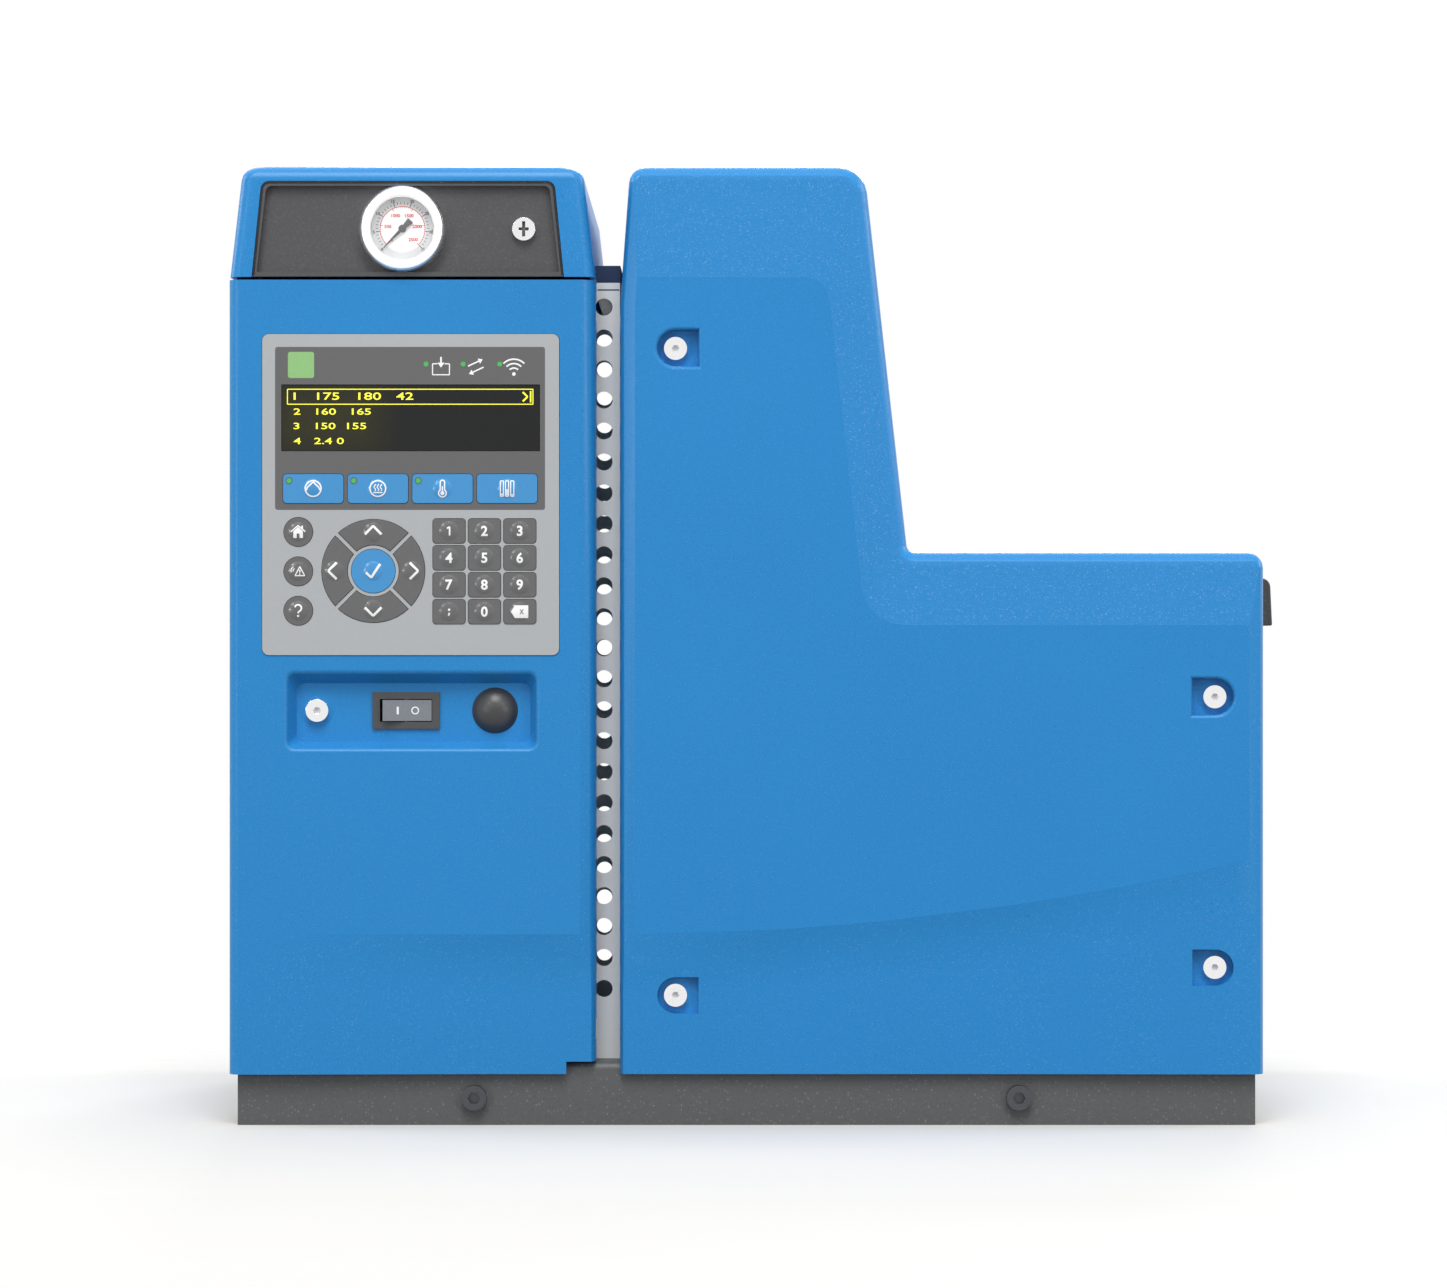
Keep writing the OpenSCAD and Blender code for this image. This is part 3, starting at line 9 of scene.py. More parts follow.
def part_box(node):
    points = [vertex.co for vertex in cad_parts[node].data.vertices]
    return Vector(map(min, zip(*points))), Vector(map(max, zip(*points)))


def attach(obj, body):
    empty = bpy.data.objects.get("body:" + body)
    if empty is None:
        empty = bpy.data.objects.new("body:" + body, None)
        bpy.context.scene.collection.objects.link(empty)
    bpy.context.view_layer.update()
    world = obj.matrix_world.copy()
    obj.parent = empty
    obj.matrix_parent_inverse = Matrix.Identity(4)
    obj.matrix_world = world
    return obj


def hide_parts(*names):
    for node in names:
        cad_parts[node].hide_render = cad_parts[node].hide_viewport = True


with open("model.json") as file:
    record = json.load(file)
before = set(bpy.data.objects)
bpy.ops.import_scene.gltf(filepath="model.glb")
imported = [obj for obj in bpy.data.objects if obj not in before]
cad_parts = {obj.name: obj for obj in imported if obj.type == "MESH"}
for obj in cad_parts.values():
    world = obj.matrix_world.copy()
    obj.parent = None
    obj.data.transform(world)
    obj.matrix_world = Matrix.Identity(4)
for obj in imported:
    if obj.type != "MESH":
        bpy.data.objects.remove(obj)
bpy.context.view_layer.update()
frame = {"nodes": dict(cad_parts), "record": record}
nodes = frame["nodes"]
mm = 0.001
bodyOf = {n: body for body, names in frame["record"]["behaviour"]["bodies"].items() for n in names}
for spare in ("Cube", "Light", "Camera"):
    if spare in bpy.data.objects:
        bpy.data.objects.remove(bpy.data.objects[spare])
print("frame loaded:", len(nodes), "nodes")


# small tools used by every piece

def nothingSelected():
    if bpy.context.object and bpy.context.object.mode != "OBJECT":
        bpy.ops.object.mode_set(mode="OBJECT")
    bpy.ops.object.select_all(action="DESELECT")


def onlyThis(piece):
    nothingSelected()
    piece.select_set(True)
    bpy.context.view_layer.objects.active = piece


def editAll(piece):
    onlyThis(piece)
    bpy.ops.object.mode_set(mode="EDIT")
    bpy.ops.mesh.select_all(action="SELECT")


def applyPlace(piece):
    onlyThis(piece)
    bpy.ops.object.transform_apply(location=True, rotation=True, scale=True)


def applyModifier(piece, kind, **settings):
    onlyThis(piece)
    step = piece.modifiers.new(kind.lower(), kind)
    for key, value in settings.items():
        setattr(step, key, value)
    bpy.ops.object.modifier_apply(modifier=step.name)


def smoothed(piece, angle=35):
    onlyThis(piece)
    bpy.ops.object.shade_smooth_by_angle(angle=math.radians(angle))
    applyModifier(piece, "WEIGHTED_NORMAL", keep_sharp=True, weight=50)


def settle(piece, name, finish, body):
    piece.name = name
    piece.data.name = name
    piece.data.materials.clear()
    piece.data.materials.append(finish)
    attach(piece, body)
    return piece


def srgb(r, g, b):
    def one(c):
        c = c / 255
        return c / 12.92 if c <= 0.04045 else ((c + 0.055) / 1.055) ** 2.4
    return (one(r), one(g), one(b), 1.0)


# node helpers

def addNode(tree, kind, values=None, **settings):
    node = tree.nodes.new(kind)
    for key, value in settings.items():
        setattr(node, key, value)
    for socket, value in (values or {}).items():
        node.inputs[socket].default_value = value
    return node


def newGroup(name, inputs, outputs):
    tree = bpy.data.node_groups.new(name, "ShaderNodeTree")
    for label, kind, value in inputs:
        socket = tree.interface.new_socket(label, in_out="INPUT", socket_type="NodeSocket" + kind)
        if value is not None:
            socket.default_value = value
    for label, kind in outputs:
        tree.interface.new_socket(label, in_out="OUTPUT", socket_type="NodeSocket" + kind)
    return tree, tree.nodes.new("NodeGroupInput"), tree.nodes.new("NodeGroupOutput")


def mathNode(tree, operation, a, b=None, clamp=False):
    node = addNode(tree, "ShaderNodeMath", operation=operation, use_clamp=clamp)
    for slot, value in ((0, a), (1, b)):
        if value is None:
            continue
        if isinstance(value, (int, float)):
            node.inputs[slot].default_value = value
        else:
            tree.links.new(value, node.inputs[slot])
    return node.outputs[0]


def vectorNode(tree, operation, a, b=None, output="Vector"):
    node = addNode(tree, "ShaderNodeVectorMath", operation=operation)
    for slot, value in ((0, a), (1, b)):
        if value is None:
            continue
        if isinstance(value, tuple):
            node.inputs[slot].default_value = value
        else:
            tree.links.new(value, node.inputs[slot])
    return node.outputs[output]


def mixColour(tree, factor, a, b, blend="MIX"):
    node = addNode(tree, "ShaderNodeMix", data_type="RGBA", blend_type=blend)
    for slot, value in ((0, factor), (6, a), (7, b)):
        if isinstance(value, (int, float, tuple)):
            node.inputs[slot].default_value = value
        else:
            tree.links.new(value, node.inputs[slot])
    return node.outputs[2]


def stepUp(tree, value, low, high):
    node = addNode(tree, "ShaderNodeMapRange", {"From Min": low, "From Max": high}, clamp=True)
    tree.links.new(value, node.inputs["Value"])
    return node.outputs["Result"]


# mouldGrain: fine leather-like grain of a moulded cover, with tiny light specks
grainGroup, gIn, gOut = newGroup("mouldGrain", [
    ("Vector", "Vector", None), ("Colour", "Color", (0.5, 0.5, 0.5, 1)), ("Grain", "Float", 900.0),
    ("Mottle", "Float", 0.12), ("Speck", "Float", 0.1), ("Rough", "Float", 0.5)],
    [("Colour", "Color"), ("Roughness", "Float"), ("Height", "Float")])
fine = addNode(grainGroup, "ShaderNodeTexNoise", {"Detail": 2.0, "Roughness": 0.6})
grainGroup.links.new(gIn.outputs["Vector"], fine.inputs["Vector"])
grainGroup.links.new(gIn.outputs["Grain"], fine.inputs["Scale"])
coarse = addNode(grainGroup, "ShaderNodeTexNoise", {"Detail": 2.0})
grainGroup.links.new(gIn.outputs["Vector"], coarse.inputs["Vector"])
grainGroup.links.new(mathNode(grainGroup, "MULTIPLY", gIn.outputs["Grain"], 0.36), coarse.inputs["Scale"])
broad = addNode(grainGroup, "ShaderNodeTexNoise", {"Scale": 9.0, "Detail": 2.0})
grainGroup.links.new(gIn.outputs["Vector"], broad.inputs["Vector"])
both = mathNode(grainGroup, "ADD", mathNode(grainGroup, "MULTIPLY", fine.outputs["Fac"], 0.55),
                mathNode(grainGroup, "MULTIPLY", coarse.outputs["Fac"], 0.45))
swing = mathNode(grainGroup, "MULTIPLY", mathNode(grainGroup, "SUBTRACT", both, 0.5), gIn.outputs["Mottle"])
drift = mathNode(grainGroup, "MULTIPLY", mathNode(grainGroup, "SUBTRACT", broad.outputs["Fac"], 0.5), 0.07)
tone = mathNode(grainGroup, "ADD", mathNode(grainGroup, "ADD", swing, drift), 1.0)
tinted = addNode(grainGroup, "ShaderNodeVectorMath", operation="SCALE")
grainGroup.links.new(gIn.outputs["Colour"], tinted.inputs[0])
grainGroup.links.new(tone, tinted.inputs["Scale"])
glint = mathNode(grainGroup, "MULTIPLY", stepUp(grainGroup, fine.outputs["Fac"], 0.6, 0.72),
                 gIn.outputs["Speck"])
flecked = mixColour(grainGroup, glint, tinted.outputs[0], (1.0, 1.0, 1.0, 1.0))
grainGroup.links.new(flecked, gOut.inputs["Colour"])
uneven = mathNode(grainGroup, "MULTIPLY", mathNode(grainGroup, "SUBTRACT", both, 0.5), 0.35)
uneven = mathNode(grainGroup, "ADD", drift, uneven)
grainGroup.links.new(mathNode(grainGroup, "ADD", gIn.outputs["Rough"], uneven), gOut.inputs["Roughness"])
grainGroup.links.new(both, gOut.inputs["Height"])

# powderSpeckle: baked powder paint, dark with light and darker specks
speckleGroup, gIn, gOut = newGroup("powderSpeckle", [
    ("Vector", "Vector", None), ("Colour", "Color", (0.1, 0.1, 0.1, 1)),
    ("Light", "Color", (0.3, 0.3, 0.3, 1)),
    ("Scale", "Float", 420.0), ("Rough", "Float", 0.55)],
    [("Colour", "Color"), ("Roughness", "Float"), ("Height", "Float")])
cell = addNode(speckleGroup, "ShaderNodeTexVoronoi", {"Randomness": 1.0})
speckleGroup.links.new(gIn.outputs["Vector"], cell.inputs["Vector"])
speckleGroup.links.new(gIn.outputs["Scale"], cell.inputs["Scale"])
pick = addNode(speckleGroup, "ShaderNodeSeparateColor")
speckleGroup.links.new(cell.outputs["Color"], pick.inputs[0])
spot = mathNode(speckleGroup, "SUBTRACT", 1.0, stepUp(speckleGroup, cell.outputs["Distance"], 0.12, 0.42))
bright = mathNode(speckleGroup, "MULTIPLY", spot, stepUp(speckleGroup, pick.outputs[0], 0.55, 1.0))
dim = mathNode(speckleGroup, "MULTIPLY", spot, stepUp(speckleGroup, pick.outputs[1], 0.5, 1.0))
peel = addNode(speckleGroup, "ShaderNodeTexNoise", {"Scale": 260.0, "Detail": 3.0})
speckleGroup.links.new(gIn.outputs["Vector"], peel.inputs["Vector"])
lit = mixColour(speckleGroup, bright, gIn.outputs["Colour"], gIn.outputs["Light"])
faint = mathNode(speckleGroup, "MULTIPLY", dim, 0.4)
speckleGroup.links.new(mixColour(speckleGroup, faint, lit, (0.02, 0.02, 0.02, 1)), gOut.inputs["Colour"])
uneven = mathNode(speckleGroup, "SUBTRACT", peel.outputs["Fac"], 0.5)
uneven = mathNode(speckleGroup, "MULTIPLY", uneven, 0.3)
speckleGroup.links.new(mathNode(speckleGroup, "ADD", gIn.outputs["Rough"], uneven), gOut.inputs["Roughness"])
raised = mathNode(speckleGroup, "MULTIPLY", spot, 0.2)
speckleGroup.links.new(mathNode(speckleGroup, "ADD", peel.outputs["Fac"], raised), gOut.inputs["Height"])

# drawnMetal: lines of a drawn or turned bar, with dull patches from handling
metalGroup, gIn, gOut = newGroup("drawnMetal", [
    ("Vector", "Vector", None), ("Stretch", "Vector", (60, 900, 900)),
    ("Colour", "Color", (0.6, 0.6, 0.6, 1)),
    ("Lines", "Float", 0.2), ("Rough", "Float", 0.3)],
    [("Colour", "Color"), ("Roughness", "Float"), ("Height", "Float")])
lines = addNode(metalGroup, "ShaderNodeTexNoise", {"Scale": 1.0, "Detail": 4.0, "Roughness": 0.65})
drawn = vectorNode(metalGroup, "MULTIPLY", gIn.outputs["Vector"], gIn.outputs["Stretch"])
metalGroup.links.new(drawn, lines.inputs["Vector"])
dull = addNode(metalGroup, "ShaderNodeTexNoise", {"Scale": 40.0, "Detail": 3.0})
metalGroup.links.new(gIn.outputs["Vector"], dull.inputs["Vector"])
lineSwing = mathNode(metalGroup, "SUBTRACT", lines.outputs["Fac"], 0.5)
dullSwing = mathNode(metalGroup, "SUBTRACT", dull.outputs["Fac"], 0.5)
swing = mathNode(metalGroup, "MULTIPLY", lineSwing, gIn.outputs["Lines"])
handled = mathNode(metalGroup, "ADD", mathNode(metalGroup, "MULTIPLY", dull.outputs["Fac"], 0.1), 0.95)
tinted = addNode(metalGroup, "ShaderNodeVectorMath", operation="SCALE")
metalGroup.links.new(gIn.outputs["Colour"], tinted.inputs[0])
metalGroup.links.new(mathNode(metalGroup, "ADD", swing, handled), tinted.inputs["Scale"])
metalGroup.links.new(tinted.outputs[0], gOut.inputs["Colour"])
uneven = mathNode(metalGroup, "MULTIPLY", mathNode(metalGroup, "ADD", lineSwing, dullSwing), 0.25)
metalGroup.links.new(mathNode(metalGroup, "ADD", gIn.outputs["Rough"], uneven), gOut.inputs["Roughness"])
metalGroup.links.new(lines.outputs["Fac"], gOut.inputs["Height"])

# printedField: a rounded rectangle printed on a front, seen along Y
fieldGroup, gIn, gOut = newGroup("printedField", [
    ("Vector", "Vector", None), ("Centre", "Vector", (0, 0, 0)), ("Straight", "Vector", (0.01, 1, 0.01)),
    ("Corner", "Float", 0.001), ("Blur", "Float", 0.00008)], [("Mask", "Float")])
offset = vectorNode(fieldGroup, "SUBTRACT", gIn.outputs["Vector"], gIn.outputs["Centre"])
away = vectorNode(fieldGroup, "ABSOLUTE", offset)
past = vectorNode(fieldGroup, "SUBTRACT", away, gIn.outputs["Straight"])
over = vectorNode(fieldGroup, "MAXIMUM", past, (0, 0, 0))
reach = vectorNode(fieldGroup, "LENGTH", vectorNode(fieldGroup, "MULTIPLY", over, (1, 0, 1)), output="Value")
edge = addNode(fieldGroup, "ShaderNodeMapRange", clamp=True)
fieldGroup.links.new(reach, edge.inputs["Value"])
for way, limit in (("ADD", "From Min"), ("SUBTRACT", "From Max")):
    bound = mathNode(fieldGroup, way, gIn.outputs["Corner"], gIn.outputs["Blur"])
    fieldGroup.links.new(bound, edge.inputs[limit])
fieldGroup.links.new(edge.outputs["Result"], gOut.inputs["Mask"])
print("shader groups made")


def blankMaterial(name):
    material = bpy.data.materials.new(name)
    material.use_nodes = True
    tree = material.node_tree
    shader = tree.nodes["Principled BSDF"]
    place = addNode(tree, "ShaderNodeTexCoord")
    return material, tree, shader, place.outputs["Object"]


def useGroup(tree, group, vector, values):
    node = addNode(tree, "ShaderNodeGroup")
    node.node_tree = group
    for socket, value in values.items():
        node.inputs[socket].default_value = value
    tree.links.new(vector, node.inputs["Vector"])
    return node


def addBump(tree, shader, height, strength, depth):
    bump = addNode(tree, "ShaderNodeBump", {"Strength": strength, "Distance": depth})
    tree.links.new(height, bump.inputs["Height"])
    tree.links.new(bump.outputs[0], shader.inputs["Normal"])


def moulded(name, colour, rough=0.5, grain=900.0, mottle=0.12, speck=0.1, bump=0.25, specular=0.5):
    material, tree, shader, place = blankMaterial(name)
    look = useGroup(tree, grainGroup, place, {
        "Colour": colour, "Grain": grain, "Mottle": mottle, "Speck": speck, "Rough": rough})
    tree.links.new(look.outputs["Colour"], shader.inputs["Base Color"])
    tree.links.new(look.outputs["Roughness"], shader.inputs["Roughness"])
    shader.inputs["Specular IOR Level"].default_value = specular
    addBump(tree, shader, look.outputs["Height"], bump, 0.0002)
    return material


def powder(name, colour, light, scale=420.0, rough=0.55, bump=0.3):
    material, tree, shader, place = blankMaterial(name)
    look = useGroup(tree, speckleGroup, place, {
        "Colour": colour, "Light": light, "Scale": scale, "Rough": rough})
    tree.links.new(look.outputs["Colour"], shader.inputs["Base Color"])
    tree.links.new(look.outputs["Roughness"], shader.inputs["Roughness"])
    addBump(tree, shader, look.outputs["Height"], bump, 0.0003)
    return material


def metal(name, colour, rough=0.3, stretch=(60, 900, 900), lines=0.2, bump=0.08):
    material, tree, shader, place = blankMaterial(name)
    look = useGroup(tree, metalGroup, place, {
        "Colour": colour, "Stretch": stretch, "Lines": lines, "Rough": rough})
    tree.links.new(look.outputs["Colour"], shader.inputs["Base Color"])
    tree.links.new(look.outputs["Roughness"], shader.inputs["Roughness"])
    shader.inputs["Metallic"].default_value = 1.0
    addBump(tree, shader, look.outputs["Height"], bump, 0.0001)
    return material


def glowing(name, colour, power, grain=1500.0):
    material, tree, shader, place = blankMaterial(name)
    look = useGroup(tree, grainGroup, place, {
        "Colour": colour, "Grain": grain, "Mottle": 0.25, "Speck": 0.02, "Rough": 0.35})
    tree.links.new(look.outputs["Colour"], shader.inputs["Base Color"])
    tree.links.new(look.outputs["Colour"], shader.inputs["Emission Color"])
    tree.links.new(look.outputs["Roughness"], shader.inputs["Roughness"])
    shader.inputs["Emission Strength"].default_value = power
    return material


finishes = {
    "coverBlue": moulded("coverBlue", srgb(38, 134, 201), 0.32, 1300.0, 0.16, 0.08, 0.3, 0.28),
    # coverBandSheen is partly the band's coarser grain and partly painted sheen: a lighter blue with more white
    # specks for the light the shallow band catches
    "coverBandSheen": moulded("coverBandSheen", srgb(45, 136, 202), 0.32, 1150.0, 0.2, 0.13, 0.4, 0.28),
    "doorBlue": moulded("doorBlue", srgb(39, 134, 200), 0.32, 1300.0, 0.16, 0.08, 0.3, 0.28),
    "socketGrey": moulded("socketGrey", srgb(238, 238, 240), 0.5, 1200.0, 0.06, 0.0, 0.05),
    "caseBlue": powder("caseBlue", srgb(52, 120, 184), srgb(92, 158, 212), 900.0, 0.5),
    "insertGrey": moulded("insertGrey", srgb(77, 77, 79), 0.55, 1200.0, 0.5, 0.04, 0.5, 0.35),
    "baseSpeckle": powder("baseSpeckle", srgb(84, 85, 86), srgb(128, 129, 130), 620.0, 0.5),
    "stripGrey": powder("stripGrey", srgb(248, 246, 238), srgb(254, 254, 250), 800.0, 0.5, 0.15),
    "gripBlack": moulded("gripBlack", srgb(48, 49, 50), 0.5, 700.0, 0.35, 0.05, 0.35),
    "switchBlack": moulded("switchBlack", srgb(66, 66, 67), 0.5, 1100.0, 0.2, 0.02, 0.2),
    "rockerSmoke": moulded("rockerSmoke", srgb(126, 130, 136), 0.3, 900.0, 0.12, 0.02, 0.05),
    "capBlack": moulded("capBlack", srgb(58, 58, 59), 0.38, 900.0, 0.1, 0.01, 0.08),
    "keyGrey": moulded("keyGrey", srgb(100, 100, 101), 0.22, 1200.0, 0.1, 0.01, 0.08),
    "keyBlue": moulded("keyBlue", srgb(64, 146, 206), 0.22, 1200.0, 0.08, 0.01, 0.08),
    "printWhite": moulded("printWhite", srgb(250, 250, 250), 0.45, 1600.0, 0.05, 0.0, 0.03),
    "printBlack": moulded("printBlack", srgb(28, 28, 30), 0.5, 1600.0, 0.2, 0.0, 0.03),
    "printRed": moulded("printRed", srgb(196, 40, 42), 0.5, 1600.0, 0.15, 0.0, 0.03),
    # greyPrintAndShade is grey print and the grey pointer, and also painted shade inside the regulator screw's
    # slot
    "greyPrintAndShade": moulded("greyPrintAndShade", srgb(96, 96, 97), 0.5, 1600.0, 0.15, 0.0, 0.03),
    "greenLamp": glowing("greenLamp", srgb(140, 188, 122), 0.06),
    "greenLed": glowing("greenLed", srgb(64, 168, 72), 0.25),
    "readout": glowing("readout", srgb(226, 221, 58), 0.75),
    "bezelWhite": metal("bezelWhite", srgb(253, 253, 253), 0.3, (700, 120, 700), 0.03, 0.02),
    # gapShadeNavy is painted shade: a dark navy for blue parts and lines that sit in shade by the air gap beside
    # the cap
    "gapShadeNavy": powder("gapShadeNavy", srgb(30, 54, 88), srgb(52, 78, 116), 900.0, 0.6),
    "polished": metal("polished", srgb(238, 238, 239), 0.12, (700, 120, 700), 0.05, 0.02),
    "steel": metal("steel", srgb(188, 189, 190), 0.32, (500, 60, 500), 0.25),
    "darkSteel": metal("darkSteel", srgb(84, 85, 88), 0.42, (600, 90, 600), 0.3),
    "castMetal": powder("castMetal", srgb(168, 170, 172), srgb(196, 198, 200), 500.0, 0.5, 0.6),
    "brass": metal("brass", srgb(196, 168, 104), 0.3, (500, 60, 500), 0.2),
    "insulation": moulded("insulation", srgb(214, 204, 182), 0.9, 260.0, 0.5, 0.08, 0.9, 0.2),
    "sealRubber": moulded("sealRubber", srgb(168, 72, 52), 0.6, 700.0, 0.2, 0.02, 0.2),
    # gasketFoamAndGapShade is the door gasket's own foam, and also the painted shadow line round the cap's insert
    "gasketFoamAndGapShade": moulded("gasketFoamAndGapShade", srgb(48, 48, 50), 0.85, 600.0, 0.6, 0.04, 0.7, 0.2),
    "boardGreen": moulded("boardGreen", srgb(34, 104, 66), 0.4, 500.0, 0.35, 0.06, 0.2),
    "plasticBlack": moulded("plasticBlack", srgb(46, 46, 48), 0.45, 800.0, 0.25, 0.03, 0.25),
    "relayBlue": moulded("relayBlue", srgb(46, 92, 160), 0.35, 900.0, 0.15, 0.02, 0.1),
    "terminalGreen": moulded("terminalGreen", srgb(70, 142, 84), 0.4, 900.0, 0.2, 0.02, 0.15),
    "coilCopper": metal("coilCopper", srgb(176, 108, 72), 0.38, (80, 80, 1400), 0.35),
}

# the grey panel carries a dark printed field behind the display and the function keys
panelPrint = {
    "centre": (-0.175, 0, 0.3631), "halfWide": 0.0702, "halfHigh": 0.0424, "corner": 0.0014,
    "dark": srgb(94, 93, 94), "pale": srgb(174, 177, 179),
}


def panelFinish(look):
    material, tree, shader, place = blankMaterial("panelGrey")
    field = useGroup(tree, fieldGroup, place, {
        "Centre": look["centre"], "Corner": look["corner"],
        "Straight": (look["halfWide"] - look["corner"], 1, look["halfHigh"] - look["corner"])})
    pale = useGroup(tree, grainGroup, place, {
        "Colour": look["pale"], "Grain": 1000.0, "Mottle": 0.07, "Speck": 0.02, "Rough": 0.5})
    dark = useGroup(tree, grainGroup, place, {
        "Colour": look["dark"], "Grain": 1300.0, "Mottle": 0.06, "Speck": 0.0, "Rough": 0.5})
    tree.links.new(mixColour(tree, field.outputs["Mask"], pale.outputs["Colour"], dark.outputs["Colour"]),
                   shader.inputs["Base Color"])
    tree.links.new(pale.outputs["Roughness"], shader.inputs["Roughness"])
    addBump(tree, shader, pale.outputs["Height"], 0.12, 0.0001)
    return material


# the display is near black, with an olive glow where its rows light up
displayGlass = {
    "centre": (-0.2185, 0, 0.3686), "straight": (0.018, 1, 0.006), "corner": 0.0, "blur": 0.021,
    "dark": srgb(17, 18, 19), "olive": srgb(62, 61, 16), "glow": 0.75,
}


def displayFinish(look):
    material, tree, shader, place = blankMaterial("displayGlass")
    glow = useGroup(tree, fieldGroup, place, {
        "Centre": look["centre"], "Straight": look["straight"],
        "Corner": look["corner"], "Blur": look["blur"]})
    base = useGroup(tree, grainGroup, place, {
        "Colour": look["dark"], "Grain": 1900.0, "Mottle": 0.35, "Speck": 0.0, "Rough": 0.28})
    shine = mathNode(tree, "MULTIPLY", glow.outputs["Mask"], look["glow"])
    tree.links.new(mixColour(tree, shine, base.outputs["Colour"], look["olive"]), shader.inputs["Base Color"])
    tree.links.new(base.outputs["Roughness"], shader.inputs["Roughness"])
    shader.inputs["Specular IOR Level"].default_value = 0.3
    return material


def lensFinish():
    material, tree, shader, place = blankMaterial("gaugeWindow")
    smear = addNode(tree, "ShaderNodeTexNoise", {"Scale": 60.0, "Detail": 2.0})
    tree.links.new(place, smear.inputs["Vector"])
    tree.links.new(stepUp(tree, smear.outputs["Fac"], 0.2, 3.2), shader.inputs["Roughness"])
    shader.inputs["Base Color"].default_value = (1, 1, 1, 1)
    shader.inputs["Transmission Weight"].default_value = 1.0
    shader.inputs["IOR"].default_value = 1.12
    return material


# the gauge dial is white inside its red arc; outside it the grey is painted shade, standing for the bezel's
# shadow on the dial
dialShadeRing = {
    "centre": (-0.179, 0, 0.467), "arc": 0.0118, "blur": 0.0008,
    "inside": srgb(250, 250, 249), "outside": srgb(204, 206, 207),
}


def dialFinish(look):
    material, tree, shader, place = blankMaterial("dialWhite")
    disc = useGroup(tree, fieldGroup, place, {
        "Centre": look["centre"], "Straight": (0, 1, 0), "Corner": look["arc"], "Blur": look["blur"]})
    ringShadeGrain = useGroup(tree, grainGroup, place, {
        "Colour": look["outside"], "Grain": 900.0, "Mottle": 0.03, "Speck": 0.0, "Rough": 0.45})
    # outside the arc the dial is painted grey for the bezel's shade
    shadedDial = mixColour(tree, disc.outputs["Mask"], ringShadeGrain.outputs["Colour"], look["inside"])
    tree.links.new(shadedDial, shader.inputs["Base Color"])
    tree.links.new(ringShadeGrain.outputs["Roughness"], shader.inputs["Roughness"])
    return material


finishes["dialWhite"] = dialFinish(dialShadeRing)
finishes["panelGrey"] = panelFinish(panelPrint)
finishes["displayGlass"] = displayFinish(displayGlass)
finishes["gaugeWindow"] = lensFinish()
print("finishes made:", len(finishes))


# camera, light and floor
stage = {
    "eye": (-0.012, -2.56, 0.251), "lens": 114.8, "sensor": 36, "reach": 30, "aim": (0, 0, 0.25),
    "fill": 0.4, "floorHalf": 2.6, "floorPale": 0.71, "floorTint": (1, 0.985, 0.955), "floorDim": 0.2,
    "fogHalf": 0.34, "fogSoft": 0.1, "rearFade": (0.32, 0.17), "frontFade": (-1.0, -0.45),
    "lamps": [("keyLamp", (-0.1, -4.95, 6.8), 3.8, 445.0), ("topLamp", (0.1, 0.3, 3.0), 2.4, 10.0),
              ("leftGlint", (-1.5, -2.4, 1.6), 0.4, 8.0), ("rightGlint", (1.4, -2.4, 1.6), 0.4, 8.0),
              ("leftEdge", (-1.9, -2.2, 0.5), 0.3, 6.0), ("rightEdge", (1.85, -2.2, 0.5), 0.3, 6.0),
              ("leftLamp", (-3.0, 0.5, 1.6), 1.4, 34.0), ("rightLamp", (3.0, 0.5, 1.6), 1.4, 34.0),
              ("rearLamp", (0.3, 2.9, 1.9), 1.6, 60.0)],
}
camera = bpy.data.objects.new("photoCamera", bpy.data.cameras.new("photoCamera"))
bpy.context.scene.collection.objects.link(camera)
camera.location = stage["eye"]
camera.rotation_euler = (math.radians(90), 0, 0)
camera.data.lens = stage["lens"]
camera.data.sensor_width = stage["sensor"]
camera.data.clip_end = stage["reach"]
bpy.context.scene.camera = camera
for lampName, place, size, watts in stage["lamps"]:
    lamp = bpy.data.objects.new(lampName, bpy.data.lights.new(lampName, "AREA"))
    bpy.context.scene.collection.objects.link(lamp)
    lamp.data.size = size
    lamp.data.energy = watts
    lamp.location = place
    lamp.rotation_euler = (Vector(stage["aim"]) - Vector(place)).to_track_quat("-Z", "Y").to_euler()


def whiteRays(tree):
    rays = addNode(tree, "ShaderNodeLightPath")
    seen = mathNode(tree, "MAXIMUM", rays.outputs["Is Camera Ray"], rays.outputs["Is Glossy Ray"])
    return mathNode(tree, "MAXIMUM", seen, rays.outputs["Is Transmission Ray"])


world = bpy.data.worlds.new("studio")
bpy.context.scene.world = world
world.use_nodes = True
tree = world.node_tree
tree.nodes.clear()
dimSky = addNode(tree, "ShaderNodeBackground", {"Color": (1, 1, 1, 1), "Strength": stage["fill"]})
whiteSky = addNode(tree, "ShaderNodeBackground", {"Color": (1, 1, 1, 1), "Strength": 1.0})
blendSky = addNode(tree, "ShaderNodeMixShader")
tree.links.new(whiteRays(tree), blendSky.inputs[0])
tree.links.new(dimSky.outputs[0], blendSky.inputs[1])
tree.links.new(whiteSky.outputs[0], blendSky.inputs[2])
tree.links.new(blendSky.outputs[0], addNode(tree, "ShaderNodeOutputWorld").inputs[0])

